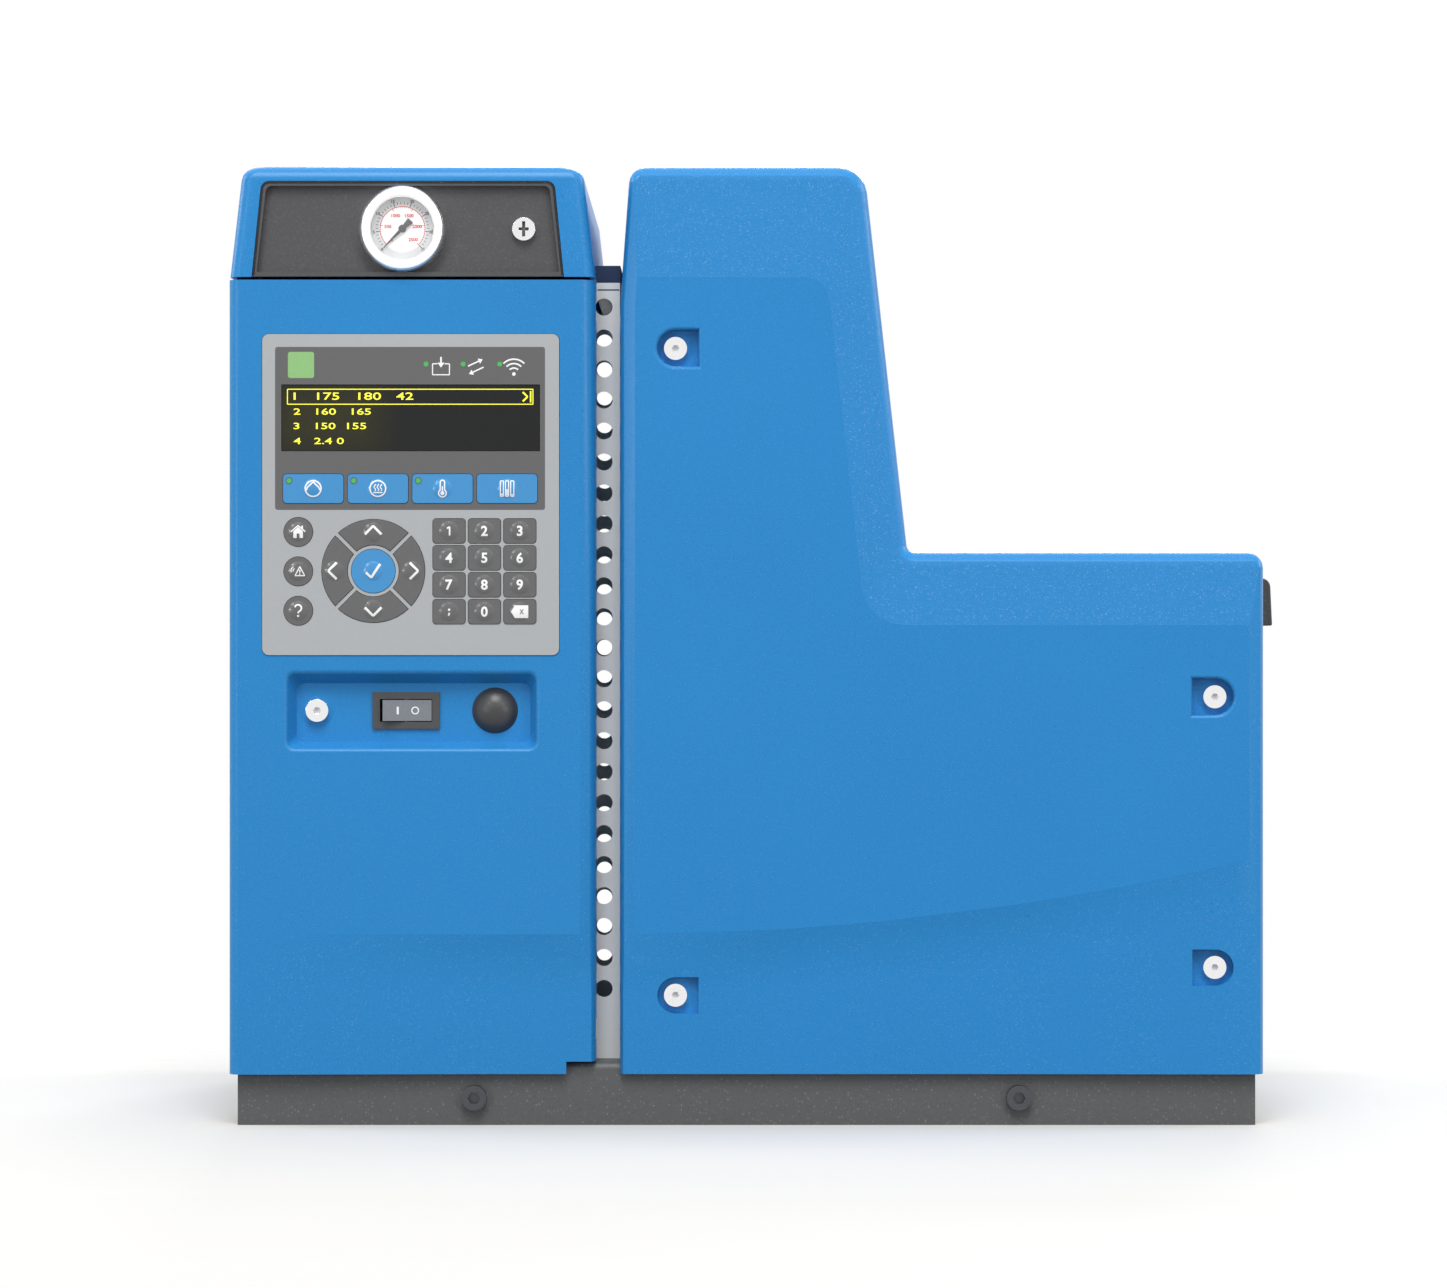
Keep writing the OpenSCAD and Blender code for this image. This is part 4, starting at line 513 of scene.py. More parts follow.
nothingSelected()
bpy.ops.mesh.primitive_grid_add(x_subdivisions=8, y_subdivisions=8, size=2 * stage["floorHalf"])
floor = bpy.context.object
floor.name = "paleFloor"
floorPaint = bpy.data.materials.new("floorPale")
floorPaint.use_nodes = True
tree = floorPaint.node_tree
tree.nodes.clear()
place = addNode(tree, "ShaderNodeTexCoord")
fog = useGroup(tree, fieldGroup, place.outputs["Object"], {
    "Straight": (stage["fogHalf"], 1, 1), "Corner": stage["fogSoft"], "Blur": stage["fogSoft"]})
depth = addNode(tree, "ShaderNodeSeparateXYZ")
tree.links.new(place.outputs["Object"], depth.inputs[0])
near = mathNode(tree, "MULTIPLY", stepUp(tree, depth.outputs["Y"], *stage["rearFade"]),
                stepUp(tree, depth.outputs["Y"], *stage["frontFade"]))
paint = addNode(tree, "ShaderNodeBsdfDiffuse", {
    "Color": tuple(stage["floorPale"] * share for share in stage["floorTint"]) + (1,)})
dim = addNode(tree, "ShaderNodeBsdfDiffuse", {"Color": (stage["floorDim"],) * 3 + (1,)})
clear = addNode(tree, "ShaderNodeBsdfTransparent")
blend = addNode(tree, "ShaderNodeMixShader")
tree.links.new(mathNode(tree, "MULTIPLY", fog.outputs["Mask"], near), blend.inputs[0])
tree.links.new(clear.outputs[0], blend.inputs[1])
tree.links.new(paint.outputs[0], blend.inputs[2])
bounce = addNode(tree, "ShaderNodeMixShader")
tree.links.new(whiteRays(tree), bounce.inputs[0])
tree.links.new(dim.outputs[0], bounce.inputs[1])
tree.links.new(blend.outputs[0], bounce.inputs[2])
tree.links.new(bounce.outputs[0], addNode(tree, "ShaderNodeOutputMaterial").inputs[0])
floor.data.materials.append(floorPaint)
bpy.context.scene.view_settings.view_transform = "Standard"
print("camera, lamps and floor set")


def keepEdges(piece, onRim):
    # of the selected edges, only those with both ends on the rim stay selected
    bpy.ops.object.mode_set(mode="OBJECT")
    for edge in piece.data.edges:
        if edge.select and not all(onRim(piece.data.vertices[v].co / mm) for v in edge.vertices):
            edge.select = False
    for face in piece.data.polygons:
        face.select = False
    bpy.ops.object.mode_set(mode="EDIT")


def markCrease(piece, onField, onRim):
    # a shallow field of a moulding keeps a crisp outline
    editAll(piece)
    bpy.ops.mesh.select_mode(type="FACE")
    bpy.ops.mesh.select_all(action="DESELECT")
    bpy.ops.object.mode_set(mode="OBJECT")
    for face in piece.data.polygons:
        face.select = onField(face.center / mm, face.normal)
    bpy.ops.object.mode_set(mode="EDIT")
    bpy.ops.mesh.region_to_loop()
    keepEdges(piece, onRim)
    bpy.ops.mesh.mark_sharp()
    bpy.ops.mesh.select_mode(type="VERT")
    bpy.ops.object.mode_set(mode="OBJECT")


def softenRim(piece, onRim, width):
    # the rim of a pocket is rounded further than the other edges
    editAll(piece)
    bpy.ops.mesh.select_mode(type="EDGE")
    bpy.ops.mesh.select_all(action="DESELECT")
    bpy.ops.mesh.edges_select_sharp(sharpness=math.radians(50))
    keepEdges(piece, onRim)
    bpy.ops.mesh.bevel(offset=width * mm, segments=4, profile=0.5, clamp_overlap=False, loop_slide=False)
    bpy.ops.mesh.select_mode(type="VERT")
    bpy.ops.object.mode_set(mode="OBJECT")


# machine pieces: a merged copy of the solid with broken edges
def dressNode(node, finish, edge, angle=38, zones=(), flatten=True, creases=(), soft=None):
    nothingSelected()
    piece = bpy.data.objects.new(node + "Piece", nodes[node].data.copy())
    bpy.context.scene.collection.objects.link(piece)
    onlyThis(piece)
    bpy.ops.mesh.customdata_custom_splitnormals_clear()
    editAll(piece)
    bpy.ops.mesh.remove_doubles(threshold=2e-6)
    if flatten:
        bpy.ops.mesh.dissolve_limited(angle_limit=math.radians(0.3))
    bpy.ops.object.mode_set(mode="OBJECT")
    if soft:
        softenRim(piece, *soft)
    applyModifier(piece, "BEVEL", width=edge * mm, segments=2, limit_method="ANGLE",
                  angle_limit=math.radians(angle), use_clamp_overlap=True)
    for onField, onRim in creases:
        markCrease(piece, onField, onRim)
    smoothed(piece, angle)
    settle(piece, node + "Piece", finishes[finish], bodyOf[node])
    for zoneFinish, inZone in zones:
        piece.data.materials.append(finishes[zoneFinish])
        for face in piece.data.polygons:
            if inZone(face.center / mm, face.normal):
                face.material_index = len(piece.data.materials) - 1
    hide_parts(node)
    return piece


gauge = {"x": -179.0, "z": 467.0, "dialY": -159.0, "dialR": 16.2}
board = {"x0": -246.0, "x1": -110.8, "z0": 93.0, "z1": 380.0, "front": 87.4}
mouldings = {
    "displayY": -157.5, "bandY": -157.3, "bandFoot": 256, "ledgeY": -156.5, "ledgeTop": 142,
    "flatY": -159.9, "rimY": -159.7, "recessX": (-244, -104), "recessZ": (192, 241),
    "lipX": -77.5, "lipZ": 452,
}
screws = {
    "cover": [(-37, 405), (-37, 68), (244, 223.5), (244, 82.5)], "coverY": -156,
    "door": [(-224, 216.3)], "doorY": -154, "regulator": [(-116, 467)], "slotY": (-158.65, -156.9),
    "slotR": 4.4, "socketR": 3.6, "socketDeep": 2.4, "drawnR": 3.8, "drawnDeep": 2.8, "drawnShare": 0.64,
    "pocket": 16, "rim": 1.8,
}


def nearAxis(c, axes, radius):
    return any(math.hypot(c.x - x, c.z - z) < radius for x, z in axes)


def onDisplay(c, n):
    return c.y < mouldings["displayY"]


def onDial(c, n):
    level = n.y < -0.9 and abs(c.y - gauge["dialY"]) < 0.3
    return level and nearAxis(c, [(gauge["x"], gauge["z"])], gauge["dialR"])


def onBand(c, n):
    tilted = -0.9996 < n.y < -0.97 and n.x > -0.02 and n.z > -0.02
    return tilted and c.y < mouldings["bandY"] and c.z > mouldings["bandFoot"]


def onLedge(c, n):
    tilted = n.z < -0.012 and n.y < -0.96
    return tilted and c.y < mouldings["ledgeY"] and c.z < mouldings["ledgeTop"]


def underLip(c, n):
    return c.x > mouldings["lipX"] and c.z < mouldings["lipZ"]


def onFront(c):
    return c.y < mouldings["flatY"]


def anyRim(c):
    return True


def onPocket(c):
    reach = screws["pocket"]
    beside = any(abs(c.x - x) < reach and abs(c.z - z) < reach for x, z in screws["cover"])
    return beside and c.y < mouldings["rimY"]


def onRecess(c):
    (x0, x1), (z0, z1) = mouldings["recessX"], mouldings["recessZ"]
    return c.y < mouldings["rimY"] and x0 < c.x < x1 and z0 < c.z < z1


def inSocket(axes, front):
    def inside(c, n):
        deep = c.y - front - 0.2
        return 0 < deep < screws["socketDeep"] and nearAxis(c, axes, screws["socketR"])
    return inside


def inSlot(c, n):
    front, back = screws["slotY"]
    return front < c.y < back and nearAxis(c, screws["regulator"], screws["slotR"])


def drawSockets(piece, axes, front):
    # the sockets in the heads are drawn in to the size that they show
    for vertex in piece.data.vertices:
        for x, z in axes:
            dx, dz = vertex.co.x - x * mm, vertex.co.z - z * mm
            shallow = vertex.co.y < (front + screws["drawnDeep"]) * mm
            if shallow and math.hypot(dx, dz) < screws["drawnR"] * mm:
                vertex.co.x = x * mm + dx * screws["drawnShare"]
                vertex.co.z = z * mm + dz * screws["drawnShare"]


def boardZone(dx0, dx1, dz0, dz1, fromRight=False, fromTop=False):
    x0 = board["x1"] if fromRight else board["x0"]
    z0 = board["z1"] if fromTop else board["z0"]

    def inside(c, n):
        return (c.y < board["front"] - 0.2 and x0 + dx0 - 0.5 < c.x < x0 + dx1 + 0.5
                and z0 + dz0 - 0.5 < c.z < z0 + dz1 + 0.5)
    return inside


pieces = {
    "sub_base": ("baseSpeckle", 0.5), "base_screws": ("darkSteel", 0.4), "vent_divider": ("stripGrey", 0.3),
    "enclosure_box": ("caseBlue", 0.3), "gauge_panel": ("insertGrey", 0.5),
    "regulator_body": ("castMetal", 0.5), "rear_cover": ("coverBlue", 0.6), "tank": ("castMetal", 0.8),
    "tank_heaters": ("steel", 0.4), "tank_insulation": ("insulation", 1.2), "manifold": ("castMetal", 0.8),
    "hose_fittings": ("steel", 0.4), "pump_body": ("castMetal", 0.7), "pump_rod": ("steel", 0.5),
    "rear_connectors": ("plasticBlack", 0.5), "air_inlet": ("brass", 0.4),
    "enclosure_frame": ("caseBlue", 0.3), "hinge_pins": ("steel", 0.3),
    "tank_lid": ("coverBlue", 0.6), "lid_grip": ("gripBlack", 0.9),
    "lid_seal": ("sealRubber", 0.6), "control_panel": ("panelGrey", 0.25),
    "switch_housing": ("switchBlack", 0.35), "rocker": ("rockerSmoke", 0.35), "port_cap": ("capBlack", 0.3),
    "gauge_pointer": ("greyPrintAndShade", 0.1), "gauge_lens": ("gaugeWindow", 0.15),
}
for node, (finish, edgeWidth) in pieces.items():
    dressNode(node, finish, edgeWidth)
# the shallow band round the cover gets the painted sheen finish
dressNode("front_cover", "coverBlue", 0.6, zones=[("coverBandSheen", onBand)],
          creases=[(onBand, anyRim), (onLedge, onFront)], soft=(onPocket, screws["rim"]))
dressNode("enclosure_door", "doorBlue", 0.6, creases=[(onLedge, onFront)], soft=(onRecess, screws["rim"]))
for node, kind in (("cover_screws", "cover"), ("door_screw", "door")):
    axes, front = screws[kind], screws[kind + "Y"]
    heads = dressNode(node, "polished", 0.5, zones=[("socketGrey", inSocket(axes, front))])
    drawSockets(heads, axes, front)
# the slot of the regulator screw is painted dark grey for the shade inside it
dressNode("regulator_screw", "polished", 0.3, zones=[("greyPrintAndShade", inSlot)])
# the cap's lip over the air gap is painted navy for the shade it lies in
dressNode("top_cap", "coverBlue", 0.6, zones=[("gapShadeNavy", underLip)])
dressNode("gauge_case", "bezelWhite", 0.35, zones=[("dialWhite", onDial)])
dressNode("display_board", "boardGreen", 0.15, zones=[("displayGlass", onDisplay)])
dressNode("main_board", "boardGreen", 0.35, zones=[
    ("steel", lambda c, n: c.y > board["front"] + 1.7),
    ("coilCopper", boardZone(10, 62, 14, 74)),
    ("relayBlue", boardZone(8, 126, -70, -44, fromTop=True)),
    ("plasticBlack", boardZone(-74, -10, 25, 47, fromRight=True)),
    ("brass", boardZone(-50, -12, 92, 156, fromRight=True)),
    ("terminalGreen", boardZone(12, 124, -24, -10, fromTop=True)),
    ("plasticBlack", boardZone(16, 56, 104, 144))])
keys = [n for n in nodes if n.startswith("key_")]
blueKeys = ("key_pump", "key_heat", "key_temperature", "key_levels", "key_confirm")
for node in keys:
    dressNode(node, "keyBlue" if node in blueKeys else "keyGrey", 0.2, 30, flatten=False)


# printed marks: drawn flat, then laid on the surface that carries them
markSheet = {"thick": 0.08, "lift": 0.04, "overLift": 0.1, "cuts": 4}
carriers = {}


def pathChain(points, closed):
    nothingSelected()
    bpy.ops.mesh.primitive_plane_add(size=0.001)
    bpy.ops.object.mode_set(mode="EDIT")
    bpy.ops.mesh.select_all(action="SELECT")
    bpy.ops.mesh.merge(type="CENTER")
    here = Vector((points[0][0], 0, points[0][1])) * mm
    bpy.ops.transform.translate(value=here)
    for x, z in points[1:]:
        there = Vector((x, 0, z)) * mm
        bpy.ops.mesh.extrude_region_move(TRANSFORM_OT_translate={"value": there - here})
        here = there
    if closed:
        chain = bpy.context.object
        bpy.ops.object.mode_set(mode="OBJECT")
        for vertex in chain.data.vertices:
            vertex.select = vertex.index in (0, len(points) - 1)
        bpy.ops.object.mode_set(mode="EDIT")
        bpy.ops.mesh.edge_face_add()
    return bpy.context.object


def easedCorners(points, width, closed):
    out = []
    count = len(points)
    for i, here in enumerate(points):
        if not closed and i in (0, count - 1):
            out.append(here)
            continue
        before, after = Vector(points[i - 1]), Vector(points[(i + 1) % count])
        spot = Vector(here)
        for other in (before, after):
            along = other - spot
            out.append(tuple(spot + along.normalized() * min(0.3 * width, along.length * 0.3)))
    return out


def stroke(points, width, closed=False, ease=True):
    chain = pathChain(easedCorners(points, width, closed) if ease else points, closed)
    bpy.ops.object.mode_set(mode="OBJECT")
    bpy.ops.object.convert(target="CURVE")
    line = bpy.context.object
    line.data.bevel_depth = width / 2 * mm
    line.data.bevel_resolution = 1
    line.data.use_fill_caps = True
    bpy.ops.object.convert(target="MESH")
    line = bpy.context.object
    line.scale = (1, markSheet["thick"] / width, 1)
    applyPlace(line)
    return line


def filled(points):
    shape = pathChain(points, True)
    bpy.ops.mesh.select_all(action="SELECT")
    bpy.ops.mesh.edge_face_add()
    bpy.ops.mesh.extrude_region_move(TRANSFORM_OT_translate={"value": (0, markSheet["thick"] / 2 * mm, 0)})
    bpy.ops.mesh.select_all(action="SELECT")
    bpy.ops.mesh.normals_make_consistent(inside=False)
    bpy.ops.object.mode_set(mode="OBJECT")
    return shape


def lettered(text, size, bold=0.0, at=(0, 0)):
    nothingSelected()
    bpy.ops.object.text_add()
    mark = bpy.context.object
    mark.data.body = text
    mark.data.size = size * mm
    mark.data.offset = bold * mm
    mark.data.extrude = markSheet["thick"] / 2 * mm
    mark.data.resolution_u = 3
    bpy.ops.object.convert(target="MESH")
    mark = bpy.context.object
    bpy.ops.object.origin_set(type="ORIGIN_GEOMETRY", center="BOUNDS")
    mark.rotation_euler = (math.radians(90), 0, 0)
    mark.location = (at[0] * mm, 0, at[1] * mm)
    applyPlace(mark)
    return mark


def ring(radius, steps=28, at=(0, 0), start=0.0, sweep=360.0):
    count = steps if sweep == 360.0 else steps + 1
    turns = [math.radians(start + sweep * i / steps) for i in range(count)]
    return [(at[0] + radius * math.cos(t), at[1] + radius * math.sin(t)) for t in turns]


def joined(parts):
    nothingSelected()
    for part in parts:
        part.select_set(True)
    bpy.context.view_layer.objects.active = parts[0]
    if len(parts) > 1:
        bpy.ops.object.join()
    return bpy.context.view_layer.objects.active


def carrierOf(node):
    mesh = nodes[node].data
    return BVHTree.FromPolygons([v.co for v in mesh.vertices], [tuple(p.vertices) for p in mesh.polygons])


def laid(mark, name, node, x, z, finish, cuts=markSheet["cuts"], lift=markSheet["lift"]):
    # moves a flat mark to its place and lets every point follow the carrier's front
    if node not in carriers:
        carriers[node] = carrierOf(node)
    mark.location = (x * mm, 0, z * mm)
    applyPlace(mark)
    if cuts:
        editAll(mark)
        bpy.ops.mesh.quads_convert_to_tris()
        bpy.ops.mesh.subdivide(number_cuts=cuts)
        bpy.ops.object.mode_set(mode="OBJECT")
    for vertex in mark.data.vertices:
        hit = carriers[node].ray_cast(Vector((vertex.co.x, -0.5, vertex.co.z)), Vector((0, 1, 0)))[0]
        if hit:
            vertex.co.y += hit.y - lift * mm
    smoothed(mark, 40)
    return settle(mark, name, finishes[finish], bodyOf[node])


def middle(node):
    low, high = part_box(node)
    return (low + high) / 2 / mm


def onMiddle(mark, name, node, finish="printWhite", lift=markSheet["lift"]):
    at = middle(node)
    return laid(mark, name, node, at.x, at.z, finish, lift=lift)


# key symbols, in mm about the middle of each key's dome
keyMarks = {
    "numberTall": 7.2, "bold": 0.2, "line": 0.85, "arrowLine": 1.5,
    "arrowAt": 19.0, "arrowWide": 4.3, "arrowTall": 4.4,
}
line = keyMarks["line"]
for digit in "1234567890":
    if digit == "1":
        figure = stroke([(-1.0, 1.25), (0.35, 2.1), (0.35, -2.4)], 1.05)
    else:
        figure = lettered(digit, keyMarks["numberTall"], keyMarks["bold"])
    onMiddle(figure, "key" + digit + "Mark", "key_" + digit)

point = [filled(ring(0.62, 14, (0.1, 1.0))), stroke([(0.25, -0.6), (0.0, -1.6), (-0.35, -2.0)], 0.95)]
onMiddle(joined(point), "keyPointMark", "key_point")

onMiddle(filled([(-4.6, 0), (-2.6, 3.3), (4.4, 3.3), (4.4, -3.3), (-2.6, -3.3)]), "keyDeleteMark", "key_delete")
cross = [stroke([(0.1, 1.3), (1.9, -1.3)], 0.45), stroke([(1.9, 1.3), (0.1, -1.3)], 0.45)]
onMiddle(joined(cross), "keyDeleteCross", "key_delete", "greyPrintAndShade", markSheet["overLift"])

pump = [stroke(ring(4.1, 30), line, True, False),
        stroke([(-3.5, -0.9), (-3.0, 0.6), (0, 3.4), (3.0, 0.6), (3.5, -0.9)], line)]
onMiddle(joined(pump), "keyPumpMark", "key_pump")

heat = [stroke(ring(4.1, 30), line, True, False), stroke([(-2.4, -2.1), (2.4, -2.1)], 0.7)]
for x in (-1.5, 0.1, 1.7):
    wave = [(x + 0.45 * math.sin(s * 1.15), -1.3 + s * 0.52) for s in range(8)]
    heat.append(stroke(wave, 0.6, False, False))
onMiddle(joined(heat), "keyHeatMark", "key_heat")

tube = ring(2.0, 18, (0, -2.4), 125, 290) + [(1.15, 3.4), (0.8, 4.1), (0, 4.35), (-0.8, 4.1), (-1.15, 3.4)]
thermometer = [stroke(tube, 0.75, True, False), filled(ring(1.05, 16, (0, -2.4))),
               stroke([(0, -2.4), (0, 1.2)], 0.7)]
onMiddle(joined(thermometer), "keyTemperatureMark", "key_temperature")

bars = []
for x, fill in ((-2.7, -2.6), (0, -0.4), (2.7, -2.9)):
    bars.append(stroke([(x - 0.8, -4.0), (x - 0.8, 4.0), (x + 0.8, 4.0), (x + 0.8, -4.0)], 0.65, True))
    bars.append(stroke([(x, -3.6), (x, fill)], 0.8))
onMiddle(joined(bars), "keyLevelsMark", "key_levels")

house = [filled([(-2.5, -3.2), (-2.5, 0.3), (0, 2.6), (2.5, 0.3), (2.5, -3.2),
                 (0.75, -3.2), (0.75, -0.9), (-0.75, -0.9), (-0.75, -3.2)]),
         stroke([(-3.7, 0.1), (0, 3.3), (3.7, 0.1)], 0.75),
         filled([(1.7, 1.6), (1.7, 3.2), (2.5, 3.2), (2.5, 0.9)])]
onMiddle(joined(house), "keyHomeMark", "key_home")

alarm = [stroke([(-1.6, -2.3), (3.4, -2.3), (0.9, 2.4)], 0.75, True),
         stroke([(0.9, 0.8), (0.9, -0.7)], 0.65), filled(ring(0.4, 10, (0.9, -1.45))),
         stroke(ring(2.6, 8, (-1.1, 0.1), 120, 75), 0.6, False, False),
         stroke(ring(1.5, 7, (-1.1, 0.1), 125, 65), 0.6, False, False)]
onMiddle(joined(alarm), "keyAlarmMark", "key_alarm")

hook = ring(1.75, 14, (0, 1.35), 165, -215) + [(0.15, -0.75), (0, -1.35)]
onMiddle(joined([stroke(hook, 0.95, False, False), filled(ring(0.58, 14, (0, -2.7)))]), "keyHelpMark", "key_help")

navigation = middle("key_confirm")
arrow = [(keyMarks["arrowAt"], -keyMarks["arrowWide"]), (keyMarks["arrowAt"] + keyMarks["arrowTall"], 0),
         (keyMarks["arrowAt"], keyMarks["arrowWide"])]
for node, turn in (("key_right", 0), ("key_up", 90), ("key_left", 180), ("key_down", 270)):
    c, s = math.cos(math.radians(turn)), math.sin(math.radians(turn))
    laid(stroke([(x * c - z * s, x * s + z * c) for x, z in arrow], keyMarks["arrowLine"]),
         node.replace("key_", "arrow") + "Mark", node, navigation.x, navigation.z, "printWhite")
tick = stroke([(-3.8, -0.8), (-1.0, -3.5), (3.6, 3.6)], keyMarks["arrowLine"])
onMiddle(tick, "keyConfirmMark", "key_confirm")
print("key symbols laid")


# lamps and small signs on the dark field
signs = {
    "lampHalf": 6.8, "lampCorner": 1.2, "lampAt": (-231.7, 396.1), "line": 0.72,
    "fillAt": (-158.9, 395.4), "flowAt": (-140.8, 395.2), "linkAt": (-121.0, 395.4), "linkFoot": -4.0,
    "ledR": 1.25, "ledRim": 0.35, "keyLed": (-12.6, 4.1),
    "leds": {"fillLed": (-166.7, 396.6), "flowLed": (-147.4, 396.6), "linkLed": (-128.4, 396.6)},
}
half = signs["lampHalf"] - signs["lampCorner"]
outline = []
for cx, cz, start in ((half, half, 0), (-half, half, 90), (-half, -half, 180), (half, -half, 270)):
    outline += ring(signs["lampCorner"], 5, (cx, cz), start, 90)
laid(filled(outline), "readyLamp", "control_panel", *signs["lampAt"], "greenLamp", 0)


def led(name, node, x, z):
    rim = stroke(ring(signs["ledR"] + signs["ledRim"], 20), 2 * signs["ledRim"], True, False)
    laid(rim, name + "Rim", node, x, z, "greyPrintAndShade", 0)
    laid(filled(ring(signs["ledR"], 16)), name, node, x, z, "greenLed", 0)


for name, (x, z) in signs["leds"].items():
    led(name, "control_panel", x, z)
for name, node in (("pumpLed", "key_pump"), ("heatLed", "key_heat"), ("temperatureLed", "key_temperature")):
    at = middle(node)
    led(name, node, at.x + signs["keyLed"][0], at.z + signs["keyLed"][1])
box = [(-1.9, 1.3), (-4.4, 1.3), (-4.4, -4.4), (4.4, -4.4), (4.4, 1.3), (1.9, 1.3)]
fillSign = [stroke(box, signs["line"]), stroke([(0, 4.9), (0, 1.6)], 0.9),
            filled([(-1.9, 1.9), (1.9, 1.9), (0, -0.6)])]
laid(joined(fillSign), "fillSign", "control_panel", *signs["fillAt"], "printWhite", 0)
slant = []
for way in (1, -1):
    tail, tip = Vector((-4.4, 0.1)) * way, Vector((1.6, 2.9)) * way
    along = (tip - tail).normalized()
    side = Vector((-along.y, along.x)) * way
    low = tail + along * 0.4
    slant.append(stroke([tuple(low), tuple(tip)], 0.85))
    nose = tip + along * 2.2
    slant.append(filled([tuple(tip + side * 1.5), tuple(nose), tuple(tip - side * 1.5)]))
laid(joined(slant), "flowSign", "control_panel", *signs["flowAt"], "printWhite", 0)
foot = (0, signs["linkFoot"])
linkSign = [stroke(ring(r, 12, foot, 45, 90), 0.95, False, False) for r in (3.1, 5.4, 7.7)]
linkSign.append(filled(ring(0.95, 14, foot)))
laid(joined(linkSign), "linkSign", "control_panel", *signs["linkAt"], "printWhite", 0)

# display: a framed row and three more, with plain figures
rows = {
    "left": -235.6, "size": 5.4, "lesser": 0.86, "bold": 0.05, "stretch": 1.7,
    "frame": [(-238.8, 375.7), (-111.1, 375.7), (-111.1, 383.5), (-238.8, 383.5)],
    "chevron": [(-116.4, 382.0), (-113.9, 379.6), (-116.4, 377.2)], "bar": [(-112.3, 382.6), (-112.3, 376.6)],
    "lines": [("1   175   180   42", 379.9), ("2   160   165", 371.9), ("3   150  155", 364.4),
              ("4   2.4 0", 356.6)],
}
laid(stroke(rows["frame"], 0.6, True), "rowFrame", "display_board", 0, 0, "readout", 0)
chevron = [stroke(rows["chevron"], 1.1), stroke(rows["bar"], 0.8)]
laid(joined(chevron), "rowChevron", "display_board", 0, 0, "readout", 0)
for i, (text, z) in enumerate(rows["lines"]):
    mark = lettered(text, rows["size"] if i == 0 else rows["size"] * rows["lesser"], rows["bold"])
    mark.scale = (rows["stretch"], 1, 1)
    applyPlace(mark)
    wide = mark.dimensions.x / mm
    laid(mark, "row%dFigures" % (i + 1), "display_board", rows["left"] + wide / 2, z, "readout", 0)
print("panel signs and display rows laid")


# gauge dial: black outer scale, red inner scale
dial = {"zero": 225.0, "sweep": 270.0, "outer": 14.0, "inner": 11.7, "blackR": 15.0, "redR": 7.7, "redEndR": 7.9}


def dialPoint(radius, share):
    turn = math.radians(dial["zero"] - dial["sweep"] * share)
    return radius * math.cos(turn), radius * math.sin(turn)


def dialTicks(radius, count, every, main, lesser):
    # main and lesser give a tick's length and width
    marks = []
    for i in range(count + 1):
        deep, width = main if i % every == 0 else lesser
        marks.append(stroke([dialPoint(radius, i / count), dialPoint(radius - deep, i / count)], width))
    return marks


blackScale = dialTicks(dial["outer"], 35, 5, (2.0, 0.42), (1.3, 0.3))
redScale = dialTicks(dial["inner"], 50, 10, (1.5, 0.4), (0.8, 0.2))
redScale.append(stroke([dialPoint(dial["inner"], i / 60) for i in range(61)], 0.38, False, False))
for i in range(8):
    blackScale.append(lettered(str(i * 5), 2.2, 0.05, dialPoint(dial["blackR"], i / 7)))
for i in range(6):
    radius = dial["redEndR" if i in (0, 5) else "redR"]
    redScale.append(lettered(str(i * 500), 2.5, 0.08, dialPoint(radius, i / 5)))
for name, scale, finish in (("dialBlackScale", blackScale, "printBlack"), ("dialRedScale", redScale, "printRed")):
    laid(joined(scale), name, "gauge_case", gauge["x"], gauge["z"], finish, 0)
print("gauge dial printed")

# painted shadow: a dark line round the insert of the cap, standing for the shade in the gap between insert and
# cap
insertJoint = {
    "wide": 1.2, "front": -159.3, "middle": -176.25, "footHalf": 80.3, "footZ": 442.9,
    "topHalf": 72.1, "topZ": 487.4, "corner": 3.75,
}


def gapShadowPath(look):
    right = [(look["middle"] + look["footHalf"], look["footZ"])]
    right += ring(look["corner"], 6, (look["middle"] + look["topHalf"], look["topZ"]), 5, 85)
    return right + [(2 * look["middle"] - x, z) for x, z in reversed(right)]


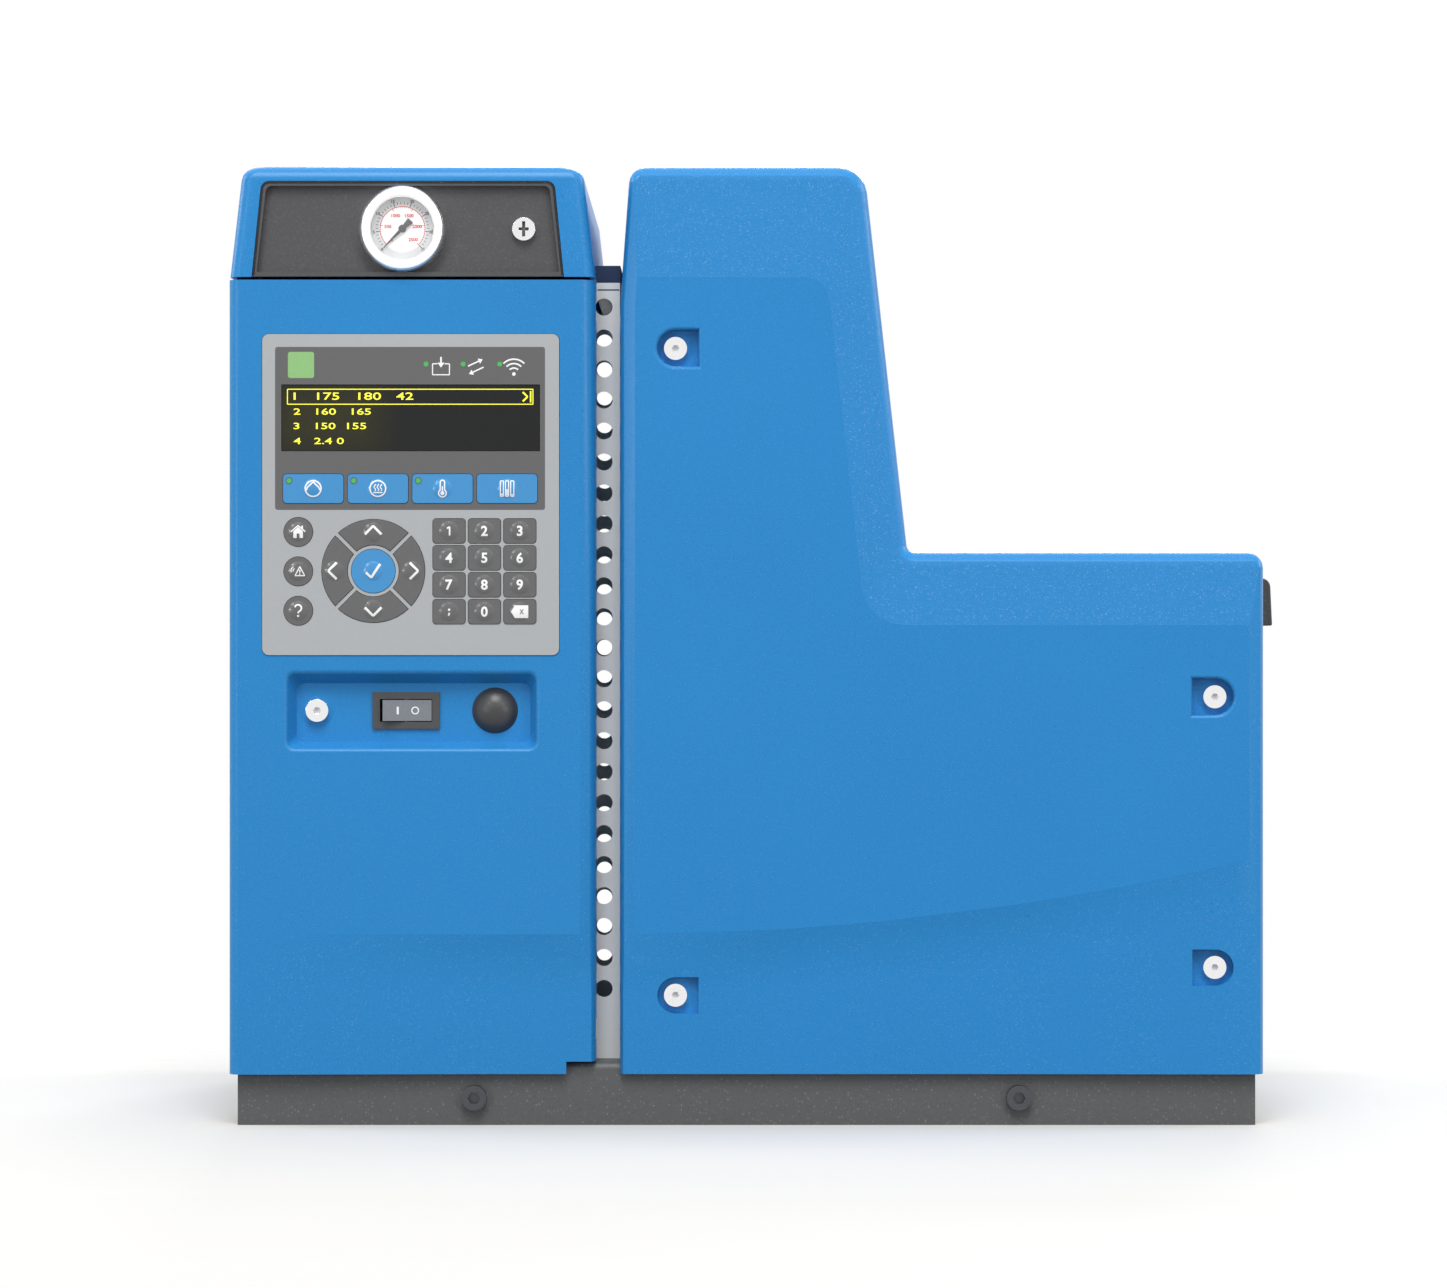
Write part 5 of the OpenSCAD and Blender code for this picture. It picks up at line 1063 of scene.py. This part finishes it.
insertShadow = stroke(gapShadowPath(insertJoint), insertJoint["wide"], False, False)
insertShadow.location = (0, insertJoint["front"] * mm, 0)
applyPlace(insertShadow)
smoothed(insertShadow, 40)
settle(insertShadow, "insertJoint", finishes["gasketFoamAndGapShade"], bodyOf["gauge_panel"])

# painted shadow: a dark line across the grey strip, under the cap's lip, where the lip shades the strip
stripJoint = {"path": [(-78.2, 437.3), (-66.8, 437.3)], "wide": 0.8}
laid(stroke(stripJoint["path"], stripJoint["wide"]), "stripJoint", "vent_divider", 0, 0, "gapShadeNavy", 0)

# rocker signs, and the soft strip that the door closes on
onMiddle(stroke([(-4.9, 2.0), (-4.9, -2.0)], 1.1), "rockerOnMark", "rocker")
onMiddle(stroke(ring(1.75, 22, (4.1, 0)), 0.7, True, False), "rockerOffMark", "rocker")

gasket = {"left": -266.0, "right": -90.8, "front": -112.0, "inset": 1.2, "wide": 6.5, "thick": 2.2, "soft": 0.7}


def doorStrip(look):
    low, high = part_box("enclosure_box")
    x0, x1 = (look["left"] + look["inset"]) * mm, (look["right"] - look["inset"]) * mm
    z0, z1 = low.z + look["inset"] * mm, high.z - look["inset"] * mm
    nothingSelected()
    bpy.ops.mesh.primitive_plane_add(size=1, location=((x0 + x1) / 2, look["front"] * mm, (z0 + z1) / 2),
                                     rotation=(math.radians(90), 0, 0))
    strip = bpy.context.object
    strip.scale = (x1 - x0, z1 - z0, 1)
    applyPlace(strip)
    editAll(strip)
    bpy.ops.mesh.inset(thickness=look["wide"] * mm, depth=0)
    bpy.ops.mesh.delete(type="FACE")
    bpy.ops.mesh.select_all(action="SELECT")
    bpy.ops.mesh.extrude_region_move(TRANSFORM_OT_translate={"value": (0, -look["thick"] * mm, 0)})
    bpy.ops.mesh.select_all(action="SELECT")
    bpy.ops.mesh.normals_make_consistent(inside=False)
    bpy.ops.object.mode_set(mode="OBJECT")
    applyModifier(strip, "BEVEL", width=look["soft"] * mm, segments=3, limit_method="ANGLE",
                  angle_limit=math.radians(40))
    smoothed(strip)
    return settle(strip, "doorGasket", finishes["gasketFoamAndGapShade"], "frame")


doorStrip(gasket)
print("switch signs and gasket made")
